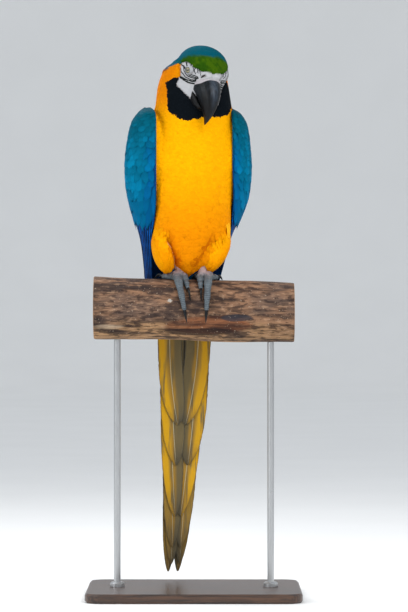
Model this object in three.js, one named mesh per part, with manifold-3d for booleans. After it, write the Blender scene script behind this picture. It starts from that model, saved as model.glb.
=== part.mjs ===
// A life-size still model of a blue-and-yellow macaw, perched on a cut length of branch that a
// display stand holds. Millimetres, +Z up, origin at the middle of the base's underside.
// The bird faces -Y, and its own left is +X.
import * as THREE from "three";
import { mergeVertices } from "three/addons/utils/BufferGeometryUtils.js";
import Module from "manifold-3d";

const wasm = await Module();
wasm.setup();
const { degToRad, lerp, clamp, smoothstep } = THREE.MathUtils;
const point = (x, y, z) => new THREE.Vector3(x, y, z);

// ---------------------------------------------------------------- driving dimensions

const GAP = 0.3; // clearance between pieces that touch

const BASE = { width: 320, depth: 250, height: 14, corner: 22, bevel: 3 };
const ROD = { radius: 5, spacing: 230, collarRadius: 11, collarHeight: 7 };
const PERCH = { length: 300, radius: 46, taper: 2, axisHeight: 428.8, fall: -0.024, swell: 1.3 };

// The bird's own frame: x to its left, y to its back, z up, turned about Z on the perch.
const BIRD = { turn: degToRad(10), x: -2, y: -5 };

// The head's frame: x left, y back, z up, about the middle of the skull.
const HEAD = {
  centre: point(8, -46, 786),
  turn: degToRad(14),
  nod: degToRad(32),
  roll: degToRad(7),
};

// The trunk and neck, in the bird's frame: half its width and depth, and how far to its left and
// back its middle is, at heights from the vent to the nape.
const TRUNK = [
  { up: 482, half: 6, deep: 8, side: -9, back: 0 },
  { up: 492, half: 20, deep: 24, side: -8, back: 2 },
  { up: 512, half: 40, deep: 40, side: -3, back: 6 },
  { up: 550, half: 56, deep: 53, side: 0, back: 6 },
  { up: 600, half: 57, deep: 56, side: 0, back: 3 },
  { up: 650, half: 54, deep: 56, side: 0, back: 0 },
  { up: 700, half: 56, deep: 53, side: 1, back: -3 },
  { up: 735, half: 57, deep: 49, side: 0, back: -8 },
  { up: 765, half: 53, deep: 43, side: -2, back: -15 },
  { up: 788, half: 44, deep: 35, side: -3, back: -23 },
  { up: 797, half: 33, deep: 26, side: -1, back: -29 },
];

// Rounded masses of the head, in its frame: centre and half sizes.
const HEAD_MASSES = [
  { centre: point(3, 5, 0.5), half: point(36, 35, 31.5) }, // skull and crown
  { centre: point(-13, 15, 0), half: point(18, 17, 20.5) }, // nape, fuller where the neck turns
  { centre: point(0, -20, -5), half: point(18, 19, 21) }, // face, where the bill is rooted
  { centre: point(9, 1, -22), half: point(15, 23, 20) }, // left cheek
  { centre: point(-9, 1, -22), half: point(15, 23, 20) }, // right cheek
  { centre: point(0, -9, -40), half: point(22, 19, 18) }, // chin and throat
];
const BLEND = 5; // how softly the masses run into each other
const TRUNK_CAP = 6; // how far above its last row the trunk still fills the head

const SPINE = [point(0, 6, 530), point(0, 2, 610), point(0, -4, 690), point(3, -20, 745), HEAD.centre];
const BODY_STEPS = { round: 22, foot: 4, along: 14, crown: 5 };
const CUTS = { neckAndTrunk: 710, headAndNeck: 750, headLean: degToRad(-14) };

const THIGH = {
  half: point(15.5, 26, 31), back: -7, height: 514,
  out: { left: 35, right: 46 },
  splay: { left: degToRad(27), right: degToRad(14) },
};
const TAIL_ROOT = { centre: point(0, 73, 474), half: point(30, 15, 66), tilt: degToRad(7) };

// The folded wing wraps the side of the body from its front edge round to the back. At each
// height front, bulge and rear are the three corners of its curve, out and back; thick is half
// its thickness. The first station is the bend of the wing, the last the longest primary's tip.
const WING = [
  { up: 732, front: [62, -8], bulge: [66, 0], rear: [60, 6], thick: 3 },
  { up: 723, front: [57, -28], bulge: [88, -14], rear: [56, 20], thick: 5 },
  { up: 702, front: [56.5, -36], bulge: [116, -12], rear: [41, 42], thick: 6 },
  { up: 650, front: [56.6, -36], bulge: [134, 0], rear: [28, 56], thick: 6.5 },
  { up: 605, front: [57.5, -28], bulge: [132, 8], rear: [16, 63], thick: 6.5 },
  { up: 567, front: [58.5, -10], bulge: [112, 24], rear: [9, 67], thick: 5.5 },
  { up: 532, front: [60, 18], bulge: [84, 42], rear: [12, 76], thick: 4.5 },
  { up: 496, front: [55, 42], bulge: [70, 66], rear: [17, 88], thick: 3.5 },
  { up: 458, front: [49, 68], bulge: [62, 82], rear: [20, 93], thick: 2.8 },
  { up: 420, front: [42, 84], bulge: [38, 90], rear: [20, 97], thick: 2.2 },
  { up: 388, front: [28, 96], bulge: [26, 97], rear: [23, 98], thick: 1 },
];
const WING_STEPS = { across: 7, along: 15 };
// How much further out each wing stands at its top and lower down.
const WING_HELD_OUT = { right: [8, 8], left: [-6, -12] };
const COVERTS_END = 560;

// Six pairs of tail feathers, from the middle pair out. lean is where the tip lies across, for
// the left feather and the right one.
const TAIL = {
  rootHeight: 500, start: 448, x: 0, back: 81, slope: 0.08, drift: -3.6e-5,
  pitch: 1.25, thick: 0.8, camber: 7, camberWidth: 45,
};
const TAIL_FEATHERS = [
  { length: 474, half: 13, root: 5, lean: [5, -10], bow: 2 },
  { length: 462, half: 14, root: 7, lean: [7, -6], bow: 3 },
  { length: 436, half: 16, root: 9, lean: [7, -6], bow: 4 },
  { length: 388, half: 17, root: 11, lean: [4, -4], bow: 9 },
  { length: 309, half: 19, root: 13, lean: [12, -6], bow: 8 },
  { length: 247, half: 19, root: 14, lean: [6, -6], bow: 12 },
];

// The bill, in the head's frame seen from the side: each pair is forward of the skull's middle
// and above it.
const BILL = {
  culmen: { from: [39.5, 3.5], to: [63, -59.8], sagitta: 16.8 },
  edge: [[13, -19.5], [35, -23], [48, -32], [59.5, -56]],
  keel: [[15, -43], [28, -53], [42, -52], [48, -41]],
  rim: [[10, -17], [24, -24], [36, -31], [47, -40]],
  width: [20, 18.8, 15.4, 11.2, 6.4, 1.4],
  lowerWidth: [21.5, 20.6, 18, 13.6, 9],
  rooted: 9,
};
const EYE = { forward: 16.4, up: 2.5, radius: 6.6, proud: 1.3 };

// Toes, by the angle round the perch from its top towards the front (degrees) and by how far
// outwards from the middle of the foot they lie along it, for each foot.
const FOOT = {
  left: 14, right: -19.5, angle: 12, lift: 9, pad: point(9, 9, 7),
  ankle: { left: point(-2, 2, 34), right: point(-12, 2, 34) },
};
const TOES = [
  { name: "outer_front", left: [8, 4.6], right: [7, -5.6], angles: [16, 91], thick: [7, 3.9], claw: 22 },
  { name: "inner_front", left: [-5, -3.8], right: [-4.8, -10.8], angles: [18, 51], thick: [5.2, 3.4], claw: 22 },
  { name: "outer_back", left: [7, 21], right: [7, 28], angles: [18, 4], thick: [5.4, 3.6], claw: 8 },
  { name: "inner_back", left: [-7, -15], right: [-5, -6], angles: [6, -22], thick: [5, 3.6], claw: 12 },
];

// ---------------------------------------------------------------- shapes from rings

/** A closed geometry through rings of points, with a point or a flat face at each end. */
function loft(rings, start, end) {
  const round = rings[0].length;
  const places = rings.flat().flatMap((p) => [p.x, p.y, p.z]);
  const faces = [];
  for (let i = 0; i + 1 < rings.length; i++)
    for (let j = 0; j < round; j++) {
      const [a, b] = [i * round + j, i * round + ((j + 1) % round)];
      faces.push(a, b, a + round, b, b + round, a + round);
    }
  const close = (ring, tip, first, forwards) => {
    const middle = tip ?? ring.reduce((sum, p) => sum.add(p), point(0, 0, 0)).divideScalar(round);
    const at = places.length / 3;
    places.push(middle.x, middle.y, middle.z);
    for (let j = 0; j < round; j++) {
      const [a, b] = [first + j, first + ((j + 1) % round)];
      faces.push(...(forwards ? [a, b, at] : [b, a, at]));
    }
  };
  close(rings[0], start, 0, false);
  close(rings.at(-1), end, (rings.length - 1) * round, true);
  const geometry = new THREE.BufferGeometry();
  geometry.setAttribute("position", new THREE.Float32BufferAttribute(places, 3));
  geometry.setIndex(volumeOf(places, faces) < 0 ? faces.toReversed() : faces);
  return geometry;
}

/** The volume that a closed list of faces bounds, below 0 if they point inwards. */
function volumeOf(places, faces) {
  const corner = (i) => point(...places.slice(3 * faces[i], 3 * faces[i] + 3));
  let sum = 0;
  for (let i = 0; i < faces.length; i += 3) sum += corner(i).dot(corner(i + 1).cross(corner(i + 2)));
  return sum / 6;
}

/** A manifold-3d solid of a closed geometry. */
function solid(geometry) {
  const bare = geometry.clone();
  bare.deleteAttribute("normal");
  bare.deleteAttribute("uv");
  const merged = mergeVertices(bare, 1e-4);
  const vertProperties = merged.attributes.position.array;
  const triVerts = new Uint32Array(merged.index.array);
  return new wasm.Manifold(new wasm.Mesh({ numProp: 3, vertProperties, triVerts }));
}

/** The largest body of a solid, as a geometry. */
function geometryOf(cut) {
  const largest = cut.decompose().sort((a, b) => b.volume() - a.volume())[0];
  const { numProp, vertProperties, triVerts } = largest.simplify(0.06).getMesh();
  const places = new Float32Array((vertProperties.length / numProp) * 3);
  for (let i = 0; i < places.length / 3; i++)
    places.set(vertProperties.subarray(i * numProp, i * numProp + 3), i * 3);
  const geometry = new THREE.BufferGeometry();
  geometry.setAttribute("position", new THREE.BufferAttribute(places, 3));
  geometry.setIndex(new THREE.BufferAttribute(triVerts, 1));
  return geometry;
}

/** A curve through stations of named numbers, or lists of them, read at t from 0 to 1. */
function between(stations, t) {
  const at = clamp(t, 0, 1) * (stations.length - 1);
  const i = Math.min(Math.floor(at), stations.length - 2);
  const [a, b, c, d] = [-1, 0, 1, 2].map((k) => stations[clamp(i + k, 0, stations.length - 1)]);
  const f = at - i;
  const spline = (p, q, r, s) =>
    0.5 * (2 * q + (r - p) * f + (2 * p - 5 * q + 4 * r - s) * f * f + (3 * q - p - 3 * r + s) * f * f * f);
  const read = (key) =>
    Array.isArray(b[key])
      ? b[key].map((_, k) => spline(a[key][k], b[key][k], c[key][k], d[key][k]))
      : spline(a[key], b[key], c[key], d[key]);
  return Object.fromEntries(Object.keys(b).map((key) => [key, read(key)]));
}

/** Rings of a round tube along a path, with a radius at each point of it. */
function tubeRings(path, radii, round) {
  return path.map((p, i) => {
    const along = path[Math.min(i + 1, path.length - 1)].clone().sub(path[Math.max(i - 1, 0)]).normalize();
    const side = point(1, 0, 0).cross(along).lengthSq() > 0.2 ? point(1, 0, 0) : point(0, 1, 0);
    const a = side.cross(along).normalize();
    const b = along.clone().cross(a);
    return Array.from({ length: round }, (_, j) => {
      const angle = (2 * Math.PI * j) / round;
      const [c, s] = [Math.cos(angle) * radii[i], Math.sin(angle) * radii[i]];
      return p.clone().addScaledVector(a, c).addScaledVector(b, s);
    });
  });
}

/** A rounded mass as a closed loft of its own: an ellipsoid under a matrix. */
function ellipsoid(half, matrix, round = 16, along = 10) {
  const geometry = new THREE.SphereGeometry(1, round, along);
  return geometry.scale(half.x, half.y, half.z).applyMatrix4(matrix);
}

// ---------------------------------------------------------------- perch and stand

/** A point on the branch: x along it, an angle from its top towards the front, and a lift. */
function perchPoint(x, angle, lift = 0) {
  const wave = Math.sin(2 * angle + x / 38) + 0.6 * Math.sin(3 * angle - x / 24);
  const radius = PERCH.radius - (PERCH.taper * x) / PERCH.length + 0.5 * PERCH.swell * wave + lift;
  return point(x, -radius * Math.sin(angle), PERCH.axisHeight + PERCH.fall * x + radius * Math.cos(angle));
}

function perchGeometry(lift = 0) {
  const [round, along] = [24, 6];
  const half = PERCH.length / 2 + lift;
  const rings = Array.from({ length: along + 1 }, (_, i) =>
    Array.from({ length: round }, (_, j) =>
      perchPoint(lerp(-half, half, i / along), (2 * Math.PI * j) / round, lift)));
  return loft(rings);
}

function baseGeometry() {
  const [w, d, r] = [BASE.width / 2 - BASE.bevel, BASE.depth / 2 - BASE.bevel, BASE.corner];
  const outline = new THREE.Shape();
  outline.absarc(w - r, d - r, r, 0, Math.PI / 2);
  outline.absarc(r - w, d - r, r, Math.PI / 2, Math.PI);
  outline.absarc(r - w, r - d, r, Math.PI, 1.5 * Math.PI);
  outline.absarc(w - r, r - d, r, 1.5 * Math.PI, 2 * Math.PI);
  const depth = BASE.height - 2 * BASE.bevel;
  const plate = new THREE.ExtrudeGeometry(outline, {
    depth, curveSegments: 4, bevelThickness: BASE.bevel, bevelSize: BASE.bevel, bevelSegments: 1,
  });
  return plate.translate(0, 0, BASE.bevel);
}

/** A rod with a collar at its foot, from the base up to its saddle under the branch. */
function rodGeometry(x) {
  const foot = BASE.height + GAP;
  const { radius, collarRadius, collarHeight } = ROD;
  const outline = [
    [0, foot], [collarRadius, foot], [collarRadius, foot + collarHeight - 2],
    [collarRadius - 2, foot + collarHeight], [radius, foot + collarHeight],
    [radius, PERCH.axisHeight - 20], [0, PERCH.axisHeight - 20],
  ].map(([r, z]) => new THREE.Vector2(r, z));
  const rod = new THREE.LatheGeometry(outline, 20).rotateX(Math.PI / 2).translate(x, 0, 0);
  return geometryOf(solid(rod).subtract(solid(perchGeometry(GAP))));
}

// ---------------------------------------------------------------- body

const headMatrix = new THREE.Matrix4()
  .makeRotationFromEuler(new THREE.Euler(HEAD.nod, HEAD.roll, HEAD.turn, "ZXY"))
  .setPosition(HEAD.centre);

/** Each mass of the head with the matrix that carries a point of the bird's frame into its own. */
const masses = HEAD_MASSES.map(({ centre, half }) => ({
  half,
  inverse: headMatrix.clone().multiply(new THREE.Matrix4().setPosition(centre)).invert(),
}));

/** Below 0 inside an ellipsoid, and nearly the distance to it elsewhere. */
function ellipsoidField(q, half) {
  const scaled = q.clone().divide(half);
  const size = scaled.length();
  return (size * (size - 1)) / Math.max(scaled.divide(half).length(), 1e-9);
}

/** Below 0 inside the trunk and neck: ellipses whose sizes follow the height. */
function trunkField(p) {
  const [foot, crown] = [TRUNK[0].up, TRUNK.at(-1).up];
  const height = clamp(p.z, foot, crown);
  const above = TRUNK.findIndex((s) => s.up >= height);
  const i = Math.max(above, 1);
  const share = (height - TRUNK[i - 1].up) / (TRUNK[i].up - TRUNK[i - 1].up);
  const { half, deep, side, back } = between(TRUNK, (i - 1 + share) / (TRUNK.length - 1));
  const round = Math.hypot((p.x - side) / half, (p.y - back) / deep) - 1;
  const beyond = Math.abs(p.z - height);
  return Math.hypot(Math.max(round, 0) * Math.min(half, deep), beyond)
    + Math.min(round, 0) * Math.min(half, deep) * Math.max(1 - beyond / TRUNK_CAP, 0);
}

/** Below 0 inside the body: the smooth least of the distances to its masses. */
function bodyField(p) {
  const distances = masses.map(({ half, inverse }) => ellipsoidField(p.clone().applyMatrix4(inverse), half));
  distances.push(trunkField(p));
  return -BLEND * Math.log(distances.reduce((sum, d) => sum + Math.exp(-d / BLEND), 0));
}

/** The point where a ray from inside the body leaves it, by bisection. */
function bodySurface(from, direction, reach = 130) {
  let [near, far] = [0, reach];
  for (let i = 0; i < 22; i++) {
    const middle = (near + far) / 2;
    if (bodyField(from.clone().addScaledVector(direction, middle)) < 0) near = middle;
    else far = middle;
  }
  return from.clone().addScaledVector(direction, near);
}

/** Trunk, neck and head as one closed skin: rays from a bent spine, domed at both ends. */
function bodyGeometry() {
  const spine = new THREE.CatmullRomCurve3(SPINE);
  const { round, foot, along, crown } = BODY_STEPS;
  const ring = (t, rise) => {
    const from = spine.getPoint(t);
    const up = spine.getTangent(t);
    const back = point(0, 1, 0).addScaledVector(up, -up.y).normalize();
    const left = back.clone().cross(up);
    return Array.from({ length: round }, (_, j) => {
      const angle = (2 * Math.PI * j) / round;
      const level = left.clone().multiplyScalar(Math.cos(angle)).addScaledVector(back, Math.sin(angle));
      const ray = level.multiplyScalar(Math.cos(rise)).addScaledVector(up, Math.sin(rise));
      return bodySurface(from, ray);
    });
  };
  const rings = [];
  for (let i = 1; i < foot; i++) rings.push(ring(0, (-Math.PI / 2) * (1 - i / foot)));
  for (let i = 0; i <= along; i++) rings.push(ring(i / along, 0));
  for (let i = 1; i < crown; i++) rings.push(ring(1, ((Math.PI / 2) * i) / crown));
  const [down, up] = [spine.getTangent(0).negate(), spine.getTangent(1)];
  return loft(rings, bodySurface(spine.getPoint(0), down), bodySurface(spine.getPoint(1), up));
}

/** Everything above (or below) a level or leaning plane. */
function halfSpace(height, above, lean = 0, y = 0) {
  const block = new THREE.BoxGeometry(600, 600, 600).translate(0, 0, above ? 300 + GAP / 2 : -300 - GAP / 2);
  return solid(block.rotateX(lean).translate(0, y, height));
}

function thighGeometry(side, grow = 0) {
  const leg = side > 0 ? "left" : "right";
  const matrix = new THREE.Matrix4().makeRotationY(side * THIGH.splay[leg])
    .setPosition(THIGH.out[leg] * side, THIGH.back, THIGH.height);
  return ellipsoid(THIGH.half.clone().addScalar(grow), matrix, 12, 8);
}

function tailRootGeometry(grow = 0) {
  const matrix = new THREE.Matrix4().makeRotationX(TAIL_ROOT.tilt).setPosition(TAIL_ROOT.centre);
  return ellipsoid(TAIL_ROOT.half.clone().addScalar(grow), matrix, 14, 8);
}

/** A folded wing: a curved sheet of feathers, thick in the middle and thin at both edges. */
function wingGeometry(side, grow = 0) {
  const { across, along } = WING_STEPS;
  const [high, low] = side > 0 ? WING_HELD_OUT.left : WING_HELD_OUT.right;
  const rings = Array.from({ length: along + 1 }, (_, i) => {
    const { up, front, bulge, rear, thick } = between(WING, i / along);
    const out = lerp(low, high, smoothstep(up, 480, 600)) * smoothstep(up, 388, 480);
    const curve = new THREE.QuadraticBezierCurve(
      new THREE.Vector2(front[0] + 0.5 * high * smoothstep(up, 560, 660), front[1]),
      new THREE.Vector2(bulge[0] + out * 1.7, bulge[1]),
      new THREE.Vector2(rear[0], rear[1]),
    );
    const place = (t, face) => {
      const along = curve.getTangent(t);
      const half = Math.max(0.5, thick * Math.sin(Math.PI * (0.04 + 0.92 * t)) ** 0.6) + grow;
      const middle = curve.getPoint(t).addScaledVector(along, grow * (2 * t - 1));
      return point(side * (middle.x + face * half * along.y), middle.y - face * half * along.x, up);
    };
    const share = (j) => j / (across - 1);
    const outer = Array.from({ length: across }, (_, j) => place(share(j), 1));
    const inner = Array.from({ length: across }, (_, j) => place(share(across - 1 - j), -1));
    return [...outer, ...inner];
  });
  return loft(rings);
}

// ---------------------------------------------------------------- tail

/** Half the width of a tail feather at a share of its length: a rounded, tapering vane. */
function vaneHalf(half, t) {
  const shoulder = Math.min(1, (t / 0.22) ** 0.5);
  const tip = t < 0.5 ? 1 : Math.max(0, 1 - ((t - 0.5) / 0.5) ** 5) ** 0.7;
  return half * shoulder * tip;
}

/** One tail feather: a thin, cambered vane that follows the sheet all the feathers lie in. */
function tailFeatherGeometry(order, side) {
  const feather = TAIL_FEATHERS[order];
  const tip = feather.lean[side > 0 ? 0 : 1];
  const layer = TAIL.pitch * (2 * order + (side > 0 ? 0 : 1));
  const first = (TAIL.rootHeight - TAIL.start) / feather.length;
  const steps = 8;
  const across = [-1, -0.45, 0.45, 1];
  const rings = Array.from({ length: steps + 1 }, (_, i) => {
    const t = lerp(first, 0.995, 1 - (1 - i / steps) ** 1.8);
    const fallen = feather.length * t;
    const shaft = side * lerp(feather.root, 0, t) + tip * t + side * feather.bow * 4 * t * (1 - t);
    const half = vaneHalf(feather.half, t);
    const place = (u, face) => {
      const x = TAIL.x + shaft + u * half;
      const y = TAIL.back + TAIL.slope * fallen - layer - TAIL.camber * ((x - TAIL.x) / TAIL.camberWidth) ** 2;
      return point(x + TAIL.drift * fallen ** 2, y + (face * TAIL.thick) / 2, TAIL.rootHeight - fallen);
    };
    return [...across.map((u) => place(u, 1)), ...across.toReversed().map((u) => place(u, -1))];
  });
  return geometryOf(solid(loft(rings)).subtract(solid(tailRootGeometry(GAP))));
}

// ---------------------------------------------------------------- head

const bezier = (corners, t) => {
  const [a, b, c, d] = corners;
  const mix = (k) => (1 - t) ** 3 * a[k] + 3 * (1 - t) ** 2 * t * b[k] + 3 * (1 - t) * t * t * c[k] + t ** 3 * d[k];
  return [mix(0), mix(1)];
};

/** The ridge of the upper bill, as an arc: forward and up at a share of its length. */
function culmen(t) {
  const { from, to, sagitta } = BILL.culmen;
  const [dx, dy] = [to[0] - from[0], to[1] - from[1]];
  const chord = Math.hypot(dx, dy);
  const radius = (chord * chord) / (8 * sagitta) + sagitta / 2;
  const open = Math.asin(chord / 2 / radius);
  const angle = lerp(-open, open, t);
  const along = 0.5 + (radius * Math.sin(angle)) / chord;
  const bulge = radius * (Math.cos(angle) - Math.cos(open));
  return [from[0] + dx * along - (dy / chord) * bulge, from[1] + dy * along + (dx / chord) * bulge];
}

/** A half of the bill: arched rings from a middle line out to two edges, closed across. */
function billGeometry(middleLine, edgeLine, widths, hollow, grow) {
  const [along, arch] = [8, 7];
  const rings = Array.from({ length: along + 1 }, (_, i) => {
    const t = i / along;
    const [mf, mu] = middleLine(t);
    const [ef, eu] = edgeLine(t);
    const half = between(widths.map((w) => ({ w })), t).w + grow;
    const length = Math.hypot(ef - mf, eu - mu) || 1;
    const [df, du] = [(ef - mf) / length, (eu - mu) / length];
    const depth = length + 2 * grow;
    const place = (x, down) => point(x, -(mf + df * (down - grow)), mu + du * (down - grow));
    const outer = Array.from({ length: arch }, (_, j) => {
      const angle = lerp(-Math.PI / 2, Math.PI / 2, j / (arch - 1));
      return place(half * Math.sin(angle), depth * (1 - Math.abs(Math.cos(angle)) ** 0.6));
    });
    const inner = [0.5, 0, -0.5].map((u) => place(half * u, depth * (1 - hollow * (1 - u * u))));
    return [...outer, ...inner];
  });
  const rooted = rings[0].map((p) => point(p.x * 0.92, p.y + BILL.rooted + 2 * grow, p.z * 0.95));
  return loft([rooted, ...rings]).applyMatrix4(headMatrix);
}

const upperBill = (grow = 0) => billGeometry(culmen, (t) => bezier(BILL.edge, t), BILL.width, 0.12, grow);
const lowerBill = (grow = 0) =>
  billGeometry((t) => bezier(BILL.keel, t), (t) => bezier(BILL.rim, t), BILL.lowerWidth, 0.15, grow);

function eyeGeometry(side, grow = 0) {
  const from = point(0, -EYE.forward, EYE.up).applyMatrix4(headMatrix);
  const out = point(side, 0, 0).transformDirection(headMatrix);
  const centre = bodySurface(from, out).addScaledVector(out, EYE.proud - EYE.radius);
  return new THREE.SphereGeometry(EYE.radius + grow, 10, 6).translate(centre.x, centre.y, centre.z);
}

// ---------------------------------------------------------------- feet

const footPlace = (side) => (side > 0 ? FOOT.left : FOOT.right);

/** The middle line of a toe, or of its claw beyond it, over the curve of the branch. */
function toePath(toe, side, from, to, steps) {
  const [root, end] = side > 0 ? toe.left : toe.right;
  return Array.from({ length: steps + 1 }, (_, i) => {
    const t = lerp(from, to, i / steps);
    const angle = degToRad(lerp(toe.angles[0], toe.angles[1], t));
    const thick = t <= 1 ? toeThick(toe, t) : clawThick(toe, t);
    return perchPoint(footPlace(side) + side * lerp(root, end, t), angle, thick + GAP + clawArch(t));
  });
}
const toeThick = (toe, t) => lerp(toe.thick[0], toe.thick[1], t) + 0.35 * Math.cos(t * 6 * Math.PI);
const clawLength = (toe) => toe.claw / Math.abs(toe.angles[1] - toe.angles[0]);
const clawThick = (toe, t) => lerp(toe.thick[1] * 0.85, 0.6, clamp((t - 1) / clawLength(toe), 0, 1) ** 1.2);
const clawArch = (t) => (t > 1 ? 3 * Math.max(0, 1 - 4 * (t - 1.25) ** 2 * 4) : 0);

function toeGeometry(toe, side) {
  const steps = 5;
  const path = toePath(toe, side, 0, 1, steps);
  const radii = path.map((_, i) => toeThick(toe, i / steps));
  return loft(tubeRings(path, radii, 7));
}

function clawGeometry(toe, side) {
  const steps = 4;
  const [root, end] = side > 0 ? toe.left : toe.right;
  const bend = degToRad(toe.angles[1] - toe.angles[0]) * (PERCH.radius + toe.thick[1]);
  const [from, to] = [1 + 1.5 / Math.hypot(end - root, bend), 1 + clawLength(toe)];
  const path = toePath(toe, side, from, to, steps);
  const radii = path.map((_, i) => clawThick(toe, lerp(from, to, i / steps)));
  return loft(tubeRings(path, radii, 6));
}

/** The sole, the shank up into the thigh and the four toes of one foot, as one solid. */
function footSolid(side, grow = 0) {
  const heel = perchPoint(footPlace(side), degToRad(FOOT.angle), FOOT.lift);
  const pad = ellipsoid(FOOT.pad.clone().addScalar(grow), new THREE.Matrix4().setPosition(heel), 12, 8);
  const knee = heel.clone().add(side > 0 ? FOOT.ankle.left : FOOT.ankle.right);
  const shank = loft(tubeRings([heel, heel.clone().lerp(knee, 0.5), knee], [7 + grow, 6 + grow, 6.5 + grow], 10));
  let foot = solid(pad).add(solid(shank));
  for (const toe of TOES) foot = foot.add(solid(toeGeometry(toe, side)));
  return foot.subtract(solid(perchGeometry(GAP)));
}

// ---------------------------------------------------------------- assembly

const COLOURS = {
  yellow: 0xe8a010, blue: 0x0b6f93, primary: 0x0c4a86, black: 0x14181c, horn: 0x2a3036, skin: 0xd4d2d0,
  iris: 0xe6dfa0, tail: 0x75633a, foot: 0x55565a, wood: 0x85664c, steel: 0xb4b6b8, plinth: 0x2b2622, green: 0x2f5a12,
};
const finish = (color, roughness = 0.7, metalness = 0) =>
  new THREE.MeshStandardMaterial({ color, roughness, metalness });

const macaw = new THREE.Group();
const bird = new THREE.Group();
bird.position.set(BIRD.x, BIRD.y, 0);
bird.rotation.z = BIRD.turn;
bird.updateMatrix();
macaw.add(bird);

function place(group, name, geometry, material) {
  const mesh = new THREE.Mesh(geometry, material);
  mesh.name = name;
  group.add(mesh);
}

const fromWorld = bird.matrix.clone().invert(); // feet are shaped by the branch, in its frame
const inBird = (made) => solid(geometryOf(made).applyMatrix4(fromWorld));

const SIDES = { left: 1, right: -1 };
const sides = Object.entries(SIDES);
const each = (make) => sides.map(([, side]) => solid(make(side, GAP)));
const less = (from, tools) => tools.reduce((left, tool) => left.subtract(tool), from);

const perchTool = inBird(solid(perchGeometry(GAP)));
const footTools = sides.map(([, side]) => inBird(footSolid(side, GAP)));
const whole = less(solid(bodyGeometry()), [
  ...each(thighGeometry), ...each(wingGeometry), ...each(eyeGeometry),
  solid(tailRootGeometry(GAP)), solid(upperBill(2 * GAP)), solid(lowerBill(2 * GAP)), perchTool, ...footTools,
]);

const headPlane = [CUTS.headAndNeck, CUTS.headLean, HEAD.centre.y];
const aboveHeadCut = halfSpace(headPlane[0], true, headPlane[1], headPlane[2]);
const belowHeadCut = halfSpace(headPlane[0], false, headPlane[1], headPlane[2]);
const feathered = finish(COLOURS.yellow);
place(bird, "head", geometryOf(whole.intersect(aboveHeadCut)), finish(COLOURS.green));
place(bird, "neck", geometryOf(whole.intersect(belowHeadCut).intersect(halfSpace(CUTS.neckAndTrunk, true))), feathered);
place(bird, "trunk", geometryOf(whole.intersect(halfSpace(CUTS.neckAndTrunk, false))), feathered);

place(bird, "bill_upper", upperBill(), finish(COLOURS.horn, 0.35));
place(bird, "bill_lower", geometryOf(solid(lowerBill()).subtract(solid(upperBill(GAP)))), finish(COLOURS.horn, 0.4));

for (const [name, side] of sides) {
  place(bird, `eye_${name}`, eyeGeometry(side), finish(COLOURS.iris, 0.1));
  const wing = less(solid(wingGeometry(side)), [solid(tailRootGeometry(GAP))]);
  const coverts = wing.intersect(halfSpace(COVERTS_END, true));
  const primaries = wing.intersect(halfSpace(COVERTS_END, false));
  place(bird, `wing_coverts_${name}`, geometryOf(coverts), finish(COLOURS.blue));
  place(bird, `wing_primaries_${name}`, geometryOf(primaries), finish(COLOURS.primary));
  const thigh = less(solid(thighGeometry(side)), [perchTool, ...footTools, solid(wingGeometry(side, GAP))]);
  place(bird, `thigh_${name}`, geometryOf(thigh), feathered);
  place(macaw, `foot_${name}`, geometryOf(footSolid(side)), finish(COLOURS.foot, 0.6));
  for (const toe of TOES)
    place(macaw, `claw_${name}_${toe.name}`, clawGeometry(toe, side), finish(COLOURS.horn, 0.3));
}

place(bird, "tail_root", geometryOf(solid(tailRootGeometry()).subtract(perchTool)), finish(COLOURS.blue));
TAIL_FEATHERS.forEach((_, order) => {
  for (const [name, side] of sides)
    place(bird, `tail_feather_${name}_${order + 1}`, tailFeatherGeometry(order, side), finish(COLOURS.tail));
});

place(macaw, "perch", perchGeometry(), finish(COLOURS.wood, 0.85));
place(macaw, "stand_base", baseGeometry(), finish(COLOURS.plinth, 0.4));
place(macaw, "stand_rod_left", rodGeometry(ROD.spacing / 2), finish(COLOURS.steel, 0.3, 1));
place(macaw, "stand_rod_right", rodGeometry(-ROD.spacing / 2), finish(COLOURS.steel, 0.3, 1));

export default macaw;
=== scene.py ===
"""A life-size still model of a blue-and-yellow macaw on a cut branch, held by a display stand."""

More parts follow.
